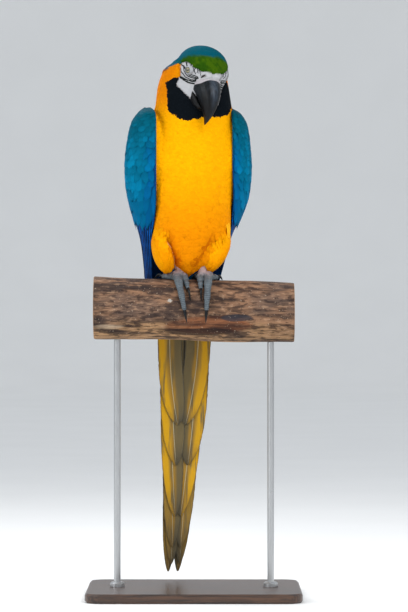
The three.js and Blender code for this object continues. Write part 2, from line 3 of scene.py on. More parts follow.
import bpy
import numpy as np
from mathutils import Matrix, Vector


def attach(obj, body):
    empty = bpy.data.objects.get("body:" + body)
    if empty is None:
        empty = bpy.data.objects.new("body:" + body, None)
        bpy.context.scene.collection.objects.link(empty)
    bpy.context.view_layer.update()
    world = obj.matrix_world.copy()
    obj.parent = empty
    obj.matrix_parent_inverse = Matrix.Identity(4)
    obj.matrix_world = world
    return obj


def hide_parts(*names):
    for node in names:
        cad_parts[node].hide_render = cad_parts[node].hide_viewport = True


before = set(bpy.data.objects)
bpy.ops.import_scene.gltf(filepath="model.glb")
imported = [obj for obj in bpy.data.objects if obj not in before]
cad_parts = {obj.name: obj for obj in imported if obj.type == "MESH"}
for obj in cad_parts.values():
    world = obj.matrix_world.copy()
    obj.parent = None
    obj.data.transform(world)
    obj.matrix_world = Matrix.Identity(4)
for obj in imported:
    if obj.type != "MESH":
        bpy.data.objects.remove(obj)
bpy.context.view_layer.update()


# ------------------------------------------------------------------ display stand
# A flat plinth of dark stained walnut with eased edges, satin varnished, and two brushed
# stainless rods with turned collars, screwed up through it and let into the branch.
class Signal:
    """A node's output: Python's own maths on it adds Math nodes."""

    def __init__(self, paint, socket):
        self.paint, self.socket = paint, socket

    def maths(self, operation, *values):
        return self.paint.node("ShaderNodeMath", {"operation": operation}, *values)

    def __add__(self, other):
        return self.maths("ADD", self, other)

    def __sub__(self, other):
        return self.maths("SUBTRACT", self, other)

    def __rsub__(self, other):
        return self.maths("SUBTRACT", other, self)

    def __mul__(self, other):
        return self.maths("MULTIPLY", self, other)

    def __truediv__(self, other):
        return self.maths("DIVIDE", self, other)

    def __pow__(self, other):
        return self.maths("POWER", self, other)

    __radd__ = __add__
    __rmul__ = __mul__

    def wave(self):
        return self.maths("SINE", self)

    def size(self):
        return self.maths("ABSOLUTE", self)

    def ramp(self, low, high):
        """0 below low, 1 above high, smooth between them."""
        settings = {"interpolation_type": "SMOOTHSTEP"}
        return self.paint.node("ShaderNodeMapRange", settings, self, low, high, 0.0, 1.0)


def linear(colour):
    """A colour of 0 to 255 a channel as the linear light that shaders work in."""
    c = np.asarray(colour, float) / 255
    return np.where(c <= 0.04045, c / 12.92, ((c + 0.055) / 1.055) ** 2.4)


class Paint:
    """A material being made: its one shader, and one method that adds any other node."""

    def __init__(self, name, **constants):
        self.material = bpy.data.materials.new(name)
        self.material.use_nodes = True
        self.tree = self.material.node_tree
        self.shader = self.tree.nodes["Principled BSDF"]
        for socket, value in constants.items():
            self.shader.inputs[socket.replace("_", " ")].default_value = value
        self.place = self.node("ShaderNodeTexCoord", {}, out="Object")

    def put(self, socket, value):
        if isinstance(value, Signal):
            self.tree.links.new(value.socket, socket)
        elif np.ndim(value) and socket.type == "RGBA":
            socket.default_value = (*np.asarray(value, float)[:3], 1)
        else:
            socket.default_value = value

    def node(self, kind, settings, *values, out=0, **named):
        """Any node: its settings, then what goes into its sockets, by order or by name."""
        made = self.tree.nodes.new(kind)
        for key, value in settings.items():
            setattr(made, key, value)
        for socket, value in zip(made.inputs, values):
            self.put(socket, value)
        for key, value in named.items():
            self.put(made.inputs[key], value)
        return Signal(self, made.outputs[out])

    def parts(self, vector):
        """The three numbers of a vector."""
        return [self.node("ShaderNodeSeparateXYZ", {}, vector, out=k) for k in range(3)]

    def kept(self, name):
        """The vector that the mesh keeps at its points under that name."""
        return self.node("ShaderNodeAttribute", {"attribute_name": name}, out=1)

    def noise(self, scale, detail=3.0, stretch=(1, 1, 1)):
        """Cloudy noise of about 0 to 1, with that many lumps a metre, drawn out by stretch."""
        where = self.node("ShaderNodeVectorMath", {"operation": "MULTIPLY"}, self.place, stretch)
        return self.node("ShaderNodeTexNoise", {}, Vector=where, Scale=scale, Detail=detail)

    def mix(self, share, first, second):
        """A colour between two others, by a share of 0 to 1; a tuple is of 0 to 255 a channel."""
        made = self.tree.nodes.new("ShaderNodeMix")
        made.data_type = "RGBA"
        self.put(made.inputs[0], share)
        for socket, colour in zip((made.inputs[6], made.inputs[7]), (first, second)):
            self.put(socket, linear(colour) if isinstance(colour, tuple) else colour)
        return Signal(self, made.outputs[2])

    def layers(self, colour, *over):
        """A colour with others laid over it in turn, each with its share."""
        for share, other in over:
            colour = self.mix(share, colour, other)
        return colour

    def lit(self, colour, light):
        """A colour made darker or lighter by a number."""
        grey = self.node("ShaderNodeCombineXYZ", {}, light, light, light)
        return self.node("ShaderNodeVectorMath", {"operation": "MULTIPLY"}, colour, grey)

    def finish(self, colour, roughness=None, height=None, depth=0.001):
        """Joins the colour, the roughness and the relief, in metres, to the shader."""
        self.put(self.shader.inputs["Base Color"], colour)
        if roughness is not None:
            self.put(self.shader.inputs["Roughness"], roughness)
        if height is not None:
            relief = self.node("ShaderNodeBump", {}, Distance=depth, Height=height)
            self.put(self.shader.inputs["Normal"], relief)
        return self.material


def dress(node, material):
    """Gives a CAD node that stays its finish."""
    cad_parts[node].data.materials.clear()
    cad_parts[node].data.materials.append(material)


walnut = Paint("stained_walnut", Coat_Weight=0.25, Coat_Roughness=0.18)
grain = walnut.noise(60, 6, (0.25, 6, 3))
pores = walnut.noise(900, 2, (0.06, 1, 1))
shade = walnut.mix(grain.ramp(0.35, 0.68), (38, 24, 17), (84, 56, 38))
shade = walnut.mix(pores.ramp(0.6, 0.72) * 0.5, shade, (20, 12, 9))
dress("stand_base", walnut.finish(shade, 0.34 + 0.14 * grain, grain * 0.5 + pores * 0.5, 0.0003))

steel = Paint("brushed_steel", Metallic=1.0)
brushing = steel.noise(2400, 2, (1, 1, 0.02))
smears = steel.noise(45, 3)
shade = steel.mix(brushing, (168, 170, 172), (206, 207, 208))
for rod in ("stand_rod_left", "stand_rod_right"):
    dress(rod, steel.finish(shade, 0.24 + 0.12 * smears, brushing, 0.00004))


# ------------------------------------------------------------------ branch
# A cut length of old barkless hardwood: brown weathered wood with long drying cracks, grey and
# dark stains, two knots and clean sawn ends. It lies across the stand, let down on the rods.
PERCH_LENGTH, PERCH_RADIUS, PERCH_TAPER = 300, 46, 2
PERCH_HEIGHT, PERCH_FALL, PERCH_SWELL = 428.8, -0.024, 1.3
KNOTS = ((-96, 1.05, 11), (88, -0.75, 9), (34, 2.6, 8))  # along, round, radius
FEET_REACH = 0.8  # round from the top, each way
PERCH_GRID, CUT_RINGS = (300, 260), 24


def perch_radius(x, angle):
    """The branch's radius: a taper, and two slow waves round it and along it."""
    wave = np.sin(2 * angle + x / 38) + 0.6 * np.sin(3 * angle - x / 24)
    return PERCH_RADIUS - PERCH_TAPER * x / PERCH_LENGTH + 0.5 * PERCH_SWELL * wave


def stacked(*parts):
    """Arrays side by side on a new last axis, each first brought to their common shape."""
    return np.stack(np.broadcast_arrays(*parts), -1)


def perch_point(x, angle, lift=0):
    """A point by its place along the branch and its angle from the top towards the front."""
    radius = perch_radius(x, angle) + lift
    height = PERCH_HEIGHT + PERCH_FALL * x + radius * np.cos(angle)
    return stacked(x, -radius * np.sin(angle), height)


def grid_faces(rows, columns, wrap=False, first=0):
    """The quads between a grid's points, row after row; wrap joins the last column to the first."""
    r = np.arange(rows - 1)[:, None]
    c = np.arange(columns if wrap else columns - 1)[None, :]
    n = (c + 1) % columns
    corners = (r * columns + c, r * columns + n, (r + 1) * columns + n, (r + 1) * columns + c)
    return np.stack(corners, -1).reshape(-1, 4) + first


def fan_faces(ring, tip):
    """Triangles from each side of a closed ring of points to one tip."""
    return np.stack((ring, np.roll(ring, -1), np.full(len(ring), tip)), -1)


def closed(rings, ends=None):
    """A closed surface: the grid of rings, and a fan from the first and last ring to its end
    point, which is the ring's own middle unless the ends are given."""
    rows, columns = rings.shape[:2]
    ends = (rings[0].mean(0), rings[-1].mean(0)) if ends is None else ends
    turn, count = np.arange(columns), rows * columns
    fans = fan_faces(turn[::-1], count), fan_faces(turn + count - columns, count + 1)
    return np.concatenate((rings.reshape(-1, 3), ends)), [grid_faces(rows, columns, wrap=True), *fans]


def outwards(points, faces):
    """The faces turned round if, taken together, they bound a volume below 0."""
    volume = 0
    for group in faces:
        a, b, c = points[group[:, 0]], points[group[:, 1]], points[group[:, 2]]
        volume += (a * np.cross(b, c)).sum()
        if group.shape[1] > 3:
            d = points[group[:, 3]]
            volume += (a * np.cross(c, d)).sum()
    return [group[:, ::-1] for group in faces] if volume < 0 else faces


def keep_values(mesh, name, rows):
    """Keeps a vector at each of a mesh's points, for its material to read."""
    kept = mesh.attributes.new(name, "FLOAT_VECTOR", "POINT")
    kept.data.foreach_set("vector", np.ravel(rows).astype(np.float32))


def add_object(name, data):
    """A new object of that mesh, light or camera, placed in the scene."""
    made = bpy.data.objects.new(name, data)
    bpy.context.scene.collection.objects.link(made)
    return made


def make(name, points, faces, material, replaces=(), uv=None, flat=(), **values):
    """One object of points in millimetres and groups of faces, with values kept at its points.
    The groups numbered in flat aren't smoothed."""
    faces = outwards(points, faces)
    mesh = bpy.data.meshes.new(name)
    corners = np.concatenate([np.ravel(group) for group in faces]).astype(np.int32)
    counts = np.concatenate([np.full(len(group), group.shape[1]) for group in faces])
    mesh.vertices.add(len(points))
    mesh.vertices.foreach_set("co", np.ravel(points * 0.001).astype(np.float32))
    mesh.loops.add(len(corners))
    mesh.loops.foreach_set("vertex_index", corners)
    mesh.polygons.add(len(counts))
    mesh.polygons.foreach_set("loop_start", (np.cumsum(counts) - counts).astype(np.int32))
    rounded = [np.full(len(group), k not in flat) for k, group in enumerate(faces)]
    mesh.polygons.foreach_set("use_smooth", np.concatenate(rounded))
    for key, rows in values.items():
        keep_values(mesh, key, rows)
    if uv is not None:
        unwrap = mesh.uv_layers.new(name="OFBake")
        unwrap.uv.foreach_set("vector", np.ravel(uv[corners]).astype(np.float32))
    mesh.update(calc_edges=True)
    mesh.validate()
    mesh.materials.append(material)
    piece = add_object(name, mesh)
    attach(piece, "root")
    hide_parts(*replaces)
    return piece


def smooth(value, low, high):
    """0 below low, 1 above high, smooth between them."""
    t = np.clip((value - low) / (high - low), 0, 1)
    return t * t * (3 - 2 * t)


def ripples(points, size, seed, count=24):
    """Cloudy values of about -1 to 1: a sum of sine waves in random directions."""
    random = np.random.default_rng(seed)
    ways = random.normal(size=(count, points.shape[-1])) / size
    phases = random.uniform(0, 2 * np.pi, count)
    return np.sin(points @ ways.T + phases).sum(-1) / np.sqrt(count)


def perch_relief(x, angle):
    """Fine relief: fibres and drying cracks that run along, and a rim and a hollow at each knot.
    On top, where the feet are, nothing rises, and all of it lies a little inside the radius."""
    round_ = np.stack((x / 14, 30 * np.cos(angle), 30 * np.sin(angle)), -1)
    fibre = ripples(round_, 1.6, 3) * 0.16 + ripples(round_, 4.5, 4) * 0.3
    crack = np.exp(-((ripples(round_ * 0.7, 3.2, 5) / 0.09) ** 2)) * smooth(ripples(round_, 9, 6), 0.2, 0.9)
    relief = fibre - 1.1 * crack
    for along, about, radius in KNOTS:
        turn = (angle - about + np.pi) % (2 * np.pi) - np.pi
        away = np.hypot((x - along) * 0.75, turn * PERCH_RADIUS) / radius
        relief += 1.1 * np.exp(-(((away - 1) / 0.28) ** 2)) - 2.2 * np.exp(-((away / 0.55) ** 2))
    return np.where(np.abs(angle) < FEET_REACH, np.minimum(relief, 0.1), relief) - 0.25


rows, columns = PERCH_GRID
x, angle = np.meshgrid(
    np.linspace(-PERCH_LENGTH / 2, PERCH_LENGTH / 2, rows),
    np.linspace(-np.pi, np.pi, columns, endpoint=False),
    indexing="ij",
)
from_end = PERCH_LENGTH / 2 - np.abs(x)
bark = perch_point(x, angle, perch_relief(x, angle) - 0.8 * np.exp(-from_end / 1.2))
points, faces = [bark.reshape(-1, 3)], [grid_faces(rows, columns, wrap=True)]
for end in (0, rows - 1):
    share = np.linspace(1, 0, CUT_RINGS, endpoint=False)[1:, None, None]
    middle = bark[end].mean(0)
    rings = middle + (bark[end] - middle) * share
    first = sum(len(group) for group in points)
    points.append(np.concatenate((rings.reshape(-1, 3), middle[None])))
    inner = np.arange(columns) + first
    outer = np.arange(columns) + end * columns
    cut = [
        np.stack((outer, np.roll(outer, -1), np.roll(inner, -1), inner), -1),
        grid_faces(CUT_RINGS - 1, columns, wrap=True, first=first),
        fan_faces(inner + (CUT_RINGS - 2) * columns, first + (CUT_RINGS - 1) * columns),
    ]
    faces += cut if end else [group[:, ::-1] for group in cut]

wood = Paint("weathered_branch", Specular_IOR_Level=0.25)
along, across, up = (part * 1000 for part in wood.parts(wood.place))
streak = wood.noise(120, 8, (0.15, 1, 1))
hair = wood.noise(640, 4, (0.1, 1, 1))
grit = wood.noise(190, 7, (0.4, 1, 1))
blotch = wood.noise(22, 5, (0.6, 1, 1))
stain = wood.noise(30, 5, (0.4, 1, 1.4))
speck = wood.noise(420, 2)
front = 1 - across.ramp(-22, -12)
wobble = (blotch - 0.5) * 1.6 + (stain - 0.5) * 1.2 + (streak - 0.5) * 0.8


def front_mark(middle, height, half_length, half_height, uneven, edge):
    """1 on an oval mark of the branch's front, by an oval's formula with an uneven soft edge."""
    oval = ((along - middle) / half_length) ** 2 + ((up - height) / half_height) ** 2
    return (1 - (oval + uneven).ramp(*edge)) * front


scar = front_mark(24, 407, 62, 13.5, wobble, (0.7, 1.1))
deep = front_mark(10, 396.5, 52, 5.5, wobble, (0.6, 1.2))
slate = front_mark(64, 417, 22, 5, wobble, (0.6, 1.2))
gash = front_mark(-129, 404, 21, 4.5, wobble * 1.5, (0.2, 1.5))
dropping = front_mark(-35.5, 443, 3.4, 2.6, (speck - 0.5) * 3, (0.3, 1.3))
lower = (1 - (up + along * 0.05 + (stain - 0.5) * 50).ramp(392, 416)) * streak.ramp(0.25, 0.6)
shade = wood.layers(
    wood.mix(streak.ramp(0.34, 0.64), (54, 39, 32), (144, 108, 82)),
    (blotch.ramp(0.44, 0.62) * 0.65, (98, 80, 70)),
    (lower * 0.75, (186, 146, 104)),
    (stain.ramp(0.56, 0.64) * 0.8, (48, 38, 36)),
    (grit.ramp(0.52, 0.62) * 0.7, (44, 32, 29)),
    ((1 - grit).ramp(0.56, 0.68) * 0.45, (178, 142, 112)),
    (scar * 0.8, wood.mix(streak.ramp(0.35, 0.65), (66, 38, 27), (132, 80, 50))),
    (deep * 0.85, (32, 20, 20)),
    (slate * 0.8, (46, 48, 56)),
    (gash * 0.8, (196, 172, 144)),
    (hair.ramp(0.5, 0.68) * 0.55, (44, 31, 25)),
    (speck.ramp(0.67, 0.74) * 0.6, (190, 170, 148)),
    (dropping * 0.7, (186, 186, 178)),
)
radius = (across**2 + (up - PERCH_HEIGHT - PERCH_FALL * along) ** 2) ** 0.5
year = (radius * 1.9 + stain * 5 + streak * 2).wave()
sawn = wood.mix(year.ramp(-0.6, 0.8) * 0.6, (158, 124, 90), (108, 78, 54))
sawn = wood.mix(grit.ramp(0.5, 0.7) * 0.4, sawn, (92, 72, 58))
shade = wood.mix(along.size().ramp(PERCH_LENGTH / 2 - 1, PERCH_LENGTH / 2 - 0.2), shade, sawn)
wood_relief = hair * 0.4 + streak * 0.4 - grit * 0.5 - scar * 0.3
weathered = wood.finish(shade, 0.78 + 0.12 * streak, wood_relief, 0.002)
make("branch", np.concatenate(points), faces, weathered, ["perch"])


# ------------------------------------------------------------------ skin
# One closed skin over trunk, neck, head, thighs, folded arms and tail root: supple, pinkish
# grey under the feathers, and bare, white and finely folded on the face.
BIRD_TURN, BIRD_PLACE = 10, (-2, -5, 0)
HEAD_CENTRE, HEAD_TURN, HEAD_NOD, HEAD_ROLL = (8, -46, 786), 14, 32, 7
TRUNK = (  # height, half width, half depth, to the left, to the back
    (482, 6, 8, -9, 0), (492, 20, 24, -8, 2), (512, 40, 40, -3, 6), (550, 56, 53, 0, 6),
    (600, 57, 56, 0, 3), (650, 54, 56, 0, 0), (700, 56, 53, 1, -3), (735, 57, 49, 0, -8),
    (765, 53, 43, -2, -15), (788, 44, 35, -3, -23), (797, 33, 26, -1, -29),
)
HEAD_MASSES = (  # centre and half sizes, in the head's own frame: left, back, up
    ((3, 5, 0.5), (36, 35, 31.5)), ((-13, 15, 0), (18, 17, 20.5)), ((0, -20, -5), (18, 19, 21)),
    ((9, 1, -22), (15, 23, 20)), ((-9, 1, -22), (15, 23, 20)), ((0, -9, -40), (22, 19, 18)),
)
THIGHS = (  # centre, half sizes, axis and angle of its lean, in the bird's frame
    ((35, -7, 514), (15.5, 26, 31), "y", 27), ((-46, -7, 514), (15.5, 26, 31), "y", -14),
)
TAIL_ROOT = (((0, 73, 474), (30, 15, 66), "x", 7), ((0, 52, 482), (22, 13, 34), "x", 24))
FOLDED_ARMS = (((58, 2, 668), (18, 30, 60), "x", 6), ((-60, 2, 668), (19, 30, 60), "x", 6))
BLEND, TRUNK_CAP = 5, 6
SIDE_BLEND = ((505, 5), (540, 8), (570, 8), (600, 12), (650, 12), (705, 5))  # height, blend
THIGH_CREASES = (  # where each thigh's front meets the belly: to the left and up
    ((-41, 539), (-35, 520), (-31, 506), (-20, 489)), ((28, 543), (19, 529), (9, 510), (-2, 493)),
)
CREASE_DEPTH, CREASE_WIDTH = 4.2, 4.5
SPINE = (
    (0, 79, 424), (0, 60, 474), (0, 30, 522), (0, 6, 570), (0, 2, 625), (0, -4, 690),
    (3, -20, 745), HEAD_CENTRE,
)
SKIN_GRID = dict(round=208, foot=14, along=230, crown=50)
COAT_DEPTH = dict(body=3.6, head=2.0, face=0.5)
EYE_FORWARD, EYE_UP, EYE_RADIUS, EYE_PROUD, LID_RADIUS = 16.4, 2.5, 6.6, 1.3, 4.0
NOSTRIL, NOSTRIL_WAY = (13.9, -33, 3.4), (-0.55, -0.18, 0.82)


def turned(axis, degrees):
    """The matrix of a turn about x, y or z."""
    c, s = np.cos(np.radians(degrees)), np.sin(np.radians(degrees))
    rows = {"x": ((1, 0, 0), (0, c, -s), (0, s, c)), "y": ((c, 0, s), (0, 1, 0), (-s, 0, c)),
            "z": ((c, -s, 0), (s, c, 0), (0, 0, 1))}
    return np.array(rows[axis])


HEAD_AXES = turned("z", HEAD_TURN) @ turned("x", HEAD_NOD) @ turned("y", HEAD_ROLL)
BIRD_AXES = turned("z", BIRD_TURN)


def to_head(p):
    return (p - np.array(HEAD_CENTRE, float)) @ HEAD_AXES


def from_head(q):
    return q @ HEAD_AXES.T + np.array(HEAD_CENTRE, float)


def to_world(p):
    return p @ BIRD_AXES.T + np.array(BIRD_PLACE, float)


def unit(ways):
    """The same directions at a length of 1."""
    return ways / np.linalg.norm(ways, axis=-1, keepdims=True)


def curve(stations, t):
    """A Catmull-Rom curve through rows of numbers, read at t from 0 to 1."""
    s = np.asarray(stations, float)
    at = np.clip(t, 0, 1) * (len(s) - 1)
    i = np.minimum(at.astype(int), len(s) - 2)
    f = (at - i)[..., None]
    a, b, c, d = (s[np.clip(i + k, 0, len(s) - 1)] for k in (-1, 0, 1, 2))
    return 0.5 * (2 * b + (c - a) * f + (2 * a - 5 * b + 4 * c - d) * f**2 + (3 * b - a - 3 * c + d) * f**3)


def mass(q, half):
    """Below 0 inside an ellipsoid, and nearly the distance to it elsewhere."""
    scaled = q / np.asarray(half, float)
    size = np.linalg.norm(scaled, axis=-1)
    return size * (size - 1) / np.maximum(np.linalg.norm(scaled / half, axis=-1), 1e-9)


def limb_mass(p, centre, half, axis, lean):
    """The same for an ellipsoid that has its own place and lean in the bird's frame."""
    return mass((p - np.array(centre, float)) @ turned(axis, lean), half)


def trunk(p):
    """Below 0 inside the trunk and neck: ellipses whose sizes follow the height."""
    heights = np.array(TRUNK, float)[:, 0]
    z = np.clip(p[..., 2], heights[0], heights[-1])
    t = np.interp(z, heights, np.linspace(0, 1, len(heights)))
    half, deep, side, back = np.moveaxis(curve(TRUNK, t)[..., 1:], -1, 0)
    round_ = np.hypot((p[..., 0] - side) / half, (p[..., 1] - back) / deep) - 1
    least = np.minimum(half, deep)
    beyond = np.abs(p[..., 2] - z)
    inside = np.minimum(round_, 0) * least * np.maximum(1 - beyond / TRUNK_CAP, 0)
    return np.hypot(np.maximum(round_, 0) * least, beyond) + inside


def creases(p):
    """The furrows between thighs and belly: depth * exp(-(distance to the line / width)^2)."""
    flat, least = p[..., (0, 2)], 1e9
    for line in THIGH_CREASES:
        for start, end in zip(line, line[1:]):
            start, run = np.array(start, float), np.subtract(end, start)
            share = np.clip(((flat - start) * run).sum(-1) / (run * run).sum(), 0, 1)
            least = np.minimum(least, np.linalg.norm(flat - start - share[..., None] * run, axis=-1))
    depth = CREASE_DEPTH * (1 - smooth(p[..., 2], 525, 550)) * (1 - smooth(p[..., 1], -20, 10))
    return depth * np.exp(-((least / CREASE_WIDTH) ** 2))


def body(p):
    """Below 0 inside the feathered outline: the smooth least of the distances to its masses,
    minus blend * log(sum of exp(-distance / blend)), with the creases cut in."""
    q = to_head(p)
    sides = np.array([trunk(p)] + [limb_mass(p, *limb) for limb in THIGHS + FOLDED_ARMS])
    side_blend = np.interp(p[..., 2], *zip(*SIDE_BLEND))
    away = [mass(q - np.array(centre, float), half) for centre, half in HEAD_MASSES]
    away += [limb_mass(p, *limb) for limb in TAIL_ROOT]
    away.append(-side_blend * np.log(np.exp(-sides / side_blend).sum(0)))
    return -BLEND * np.log(np.exp(-np.array(away) / BLEND).sum(0)) + creases(p)


def face_angles(q):
    """Round the head from the bill (0) to the nape (180), and above the level, in degrees."""
    about = np.degrees(np.arctan2(np.abs(q[..., 0]), -q[..., 1]))
    above = np.degrees(np.arctan2(q[..., 2], np.hypot(q[..., 0], q[..., 1])))
    return about, above


def bare(q):
    """How far inside the bare white skin of the face a point is, in degrees; below 0 outside."""
    about, above = face_angles(q)
    top = np.interp(about, (0, 6, 15, 36, 58, 78, 88, 97), (14.5, 16, 16, 14.8, 17.2, 18.6, 14, 5))
    right = np.interp(above, (-49, -45, -38, -25.6, -21, 5, 17, 22), (30, 55, 79, 83, 82, 97, 85, 70))
    left = np.interp(above, (-49, -37, -25, -14, -6, 5, 17, 22), (28, 44, 54, 66, 84, 97, 85, 70))
    rear = np.where(q[..., 0] < 0, right, left)
    foot = np.interp(about, (0, 30, 55, 78), (-52, -49, -45.5, -38.5))
    inside = np.minimum(np.minimum(top - above, rear - about), above - foot)
    far_out = np.linalg.norm(q / np.array((33.0, 42, 48)), axis=-1)
    return np.minimum(inside, 60 * (1.35 - far_out))


def nostril_place(m):
    """How far along a nostril's slit a point of the head's left half is, and how far from it."""
    slit = m - np.array(NOSTRIL)
    along = (slit * NOSTRIL_WAY).sum(-1)
    across = (slit - along[..., None] * np.array(NOSTRIL_WAY)) * (1, 0.25, 1)
    return along, np.linalg.norm(across, axis=-1)


def face_relief(q):
    """The folds of the bare face, in millimetres: socket, lids, brow, lores, and fine wrinkles."""
    m = np.stack((np.abs(q[..., 0]), q[..., 1], q[..., 2]), -1)
    from_eye = np.linalg.norm(m - EYE_SURFACE, axis=-1)
    socket = -1.2 * np.exp(-((from_eye / 5.5) ** 2)) + 0.4 * np.exp(-(((from_eye - 8.4) / 1.5) ** 2))
    lores = -1.8 * np.exp(-(np.linalg.norm(m - np.array((22.0, -31, 0)), axis=-1) / 7) ** 2)
    notch = -1.0 * np.exp(-((q[..., 0] / 2.2) ** 2)) * smooth(q[..., 2], 4, 12) * smooth(-q[..., 1], 26, 34)
    along, away = nostril_place(m)
    nostril = -2.4 * np.exp(-((along / 4.3) ** 4) - (away / 1.15) ** 2)
    lobes = 3.4 * np.exp(-(np.linalg.norm((m - np.array((9.0, -37, 8))) / (1, 1, 0.9), axis=-1) / 7.5) ** 2)
    wrinkle = 0.22 * ripples(m * (1, 1, 1.8), 1.6, 11) * smooth(bare(q), 0, 8)
    return socket + lores + lobes + notch + nostril + wrinkle


def coat_depth(q):
    """How deep the skin lies under the feathered outline."""
    away = smooth(np.linalg.norm(q, axis=-1), 42, 80)
    feathered = COAT_DEPTH["head"] + (COAT_DEPTH["body"] - COAT_DEPTH["head"]) * away
    return feathered + (COAT_DEPTH["face"] - feathered) * smooth(bare(q), -2, 5)


def skin_field(p):
    """Below 0 inside the skin: the outline sunk by the coat's depth, with the face's folds."""
    q = to_head(p)
    near = np.linalg.norm(q, axis=-1) < 70
    relief = np.where(near, face_relief(q), 0)
    return body(p) + coat_depth(q) - relief


def leave(field, start, way, reach=135, halvings=20):
    """Where rays from inside a field leave it, by halving the reach."""
    near, far = np.zeros(way.shape[:-1] + (1,)), np.full(way.shape[:-1] + (1,), float(reach))
    for _ in range(halvings):
        middle = (near + far) / 2
        inside = (field(start + way * middle) < 0)[..., None]
        near, far = np.where(inside, middle, near), np.where(inside, far, middle)
    return start + way * near


EYE_SURFACE = to_head(leave(
    body, from_head(np.array((0, -EYE_FORWARD, EYE_UP), float)), HEAD_AXES.T[0], reach=50
))


def full_turn(count):
    """So many angles, evenly spaced once round."""
    return np.linspace(0, 2 * np.pi, count, endpoint=False)


def spine_rays(t, rise, angle):
    """Rays from the spine at t, lifted by rise, at an angle from the left towards the back."""
    start = curve(SPINE, t)
    ahead = np.minimum(t + 0.004, 1)
    up = unit(curve(SPINE, ahead) - curve(SPINE, ahead - 0.008))
    back = unit(np.array((0.0, 1, 0)) - up * up[..., 1:2])
    left = np.cross(back, up)
    level = left * np.cos(angle)[..., None] + back * np.sin(angle)[..., None]
    return start, level * np.cos(rise)[..., None] + up * np.sin(rise)[..., None]


grid = SKIN_GRID
foot_rise = np.linspace(-np.pi / 2, 0, grid["foot"] + 1)[1:-1]
crown_rise = np.linspace(0, np.pi / 2, grid["crown"] + 1)[1:-1]
spine_t = np.linspace(0, 1, grid["along"] + 1)
t = np.concatenate((np.zeros_like(foot_rise), spine_t, np.ones_like(crown_rise)))
rise = np.concatenate((foot_rise, np.zeros_like(spine_t), crown_rise))
angle = full_turn(grid["round"])
start, way = spine_rays(*np.broadcast_arrays(t[:, None], rise[:, None], angle[None, :]))
poles = spine_rays(np.array((0.0, 1)), np.array((-np.pi / 2, np.pi / 2)), np.zeros(2))
skin_points, skin_faces = closed(leave(skin_field, start, way), leave(skin_field, *poles))

# the last of these four is a painted shade, laid into the creases by the thighs
YELLOW, ORANGE, AMBER, CREASE_SHADE_ORANGE = (250, 172, 2), (230, 128, 2), (214, 118, 3), (196, 98, 2)
TEAL, CROWN_TEAL, NAPE_BLUE = (2, 108, 146), (2, 82, 98), (2, 84, 146)
GREEN, OLIVE = (40, 78, 8), (66, 98, 8)
# the second is a painted shadow for the nostrils
BLACK, NOSTRIL_SHADOW = (12, 17, 22), (24, 21, 22)
WHITE_SKIN, UNDER_BLUE = (166, 169, 173), (10, 92, 140)
BLUE_BACK = ((520, 28), (600, 22), (740, 34), (790, 34))  # height, where the back's blue starts
CROWN_EDGE = (  # degrees round from the bill, and up, at the cap's lower edge
    (0, 9), (78, 13), (92, 11), (101, 5), (108, -7), (113, -17), (120, -24), (180, -36),
)
BIB_EDGE = (  # the black bib's lower edge: to the left, and up
    (-50, 772), (-46.5, 752), (-45, 732), (-44, 723), (-41, 717), (-30, 711), (-18, 706), (-8, 709),
    (0, 711), (21, 712), (36, 713), (47, 716), (52, 721), (56, 729), (59, 745),
)


def blend(first, second, share):
    """The colours between first and second, by a share for each point."""
    return first + (np.asarray(second) - first) * share[..., None]


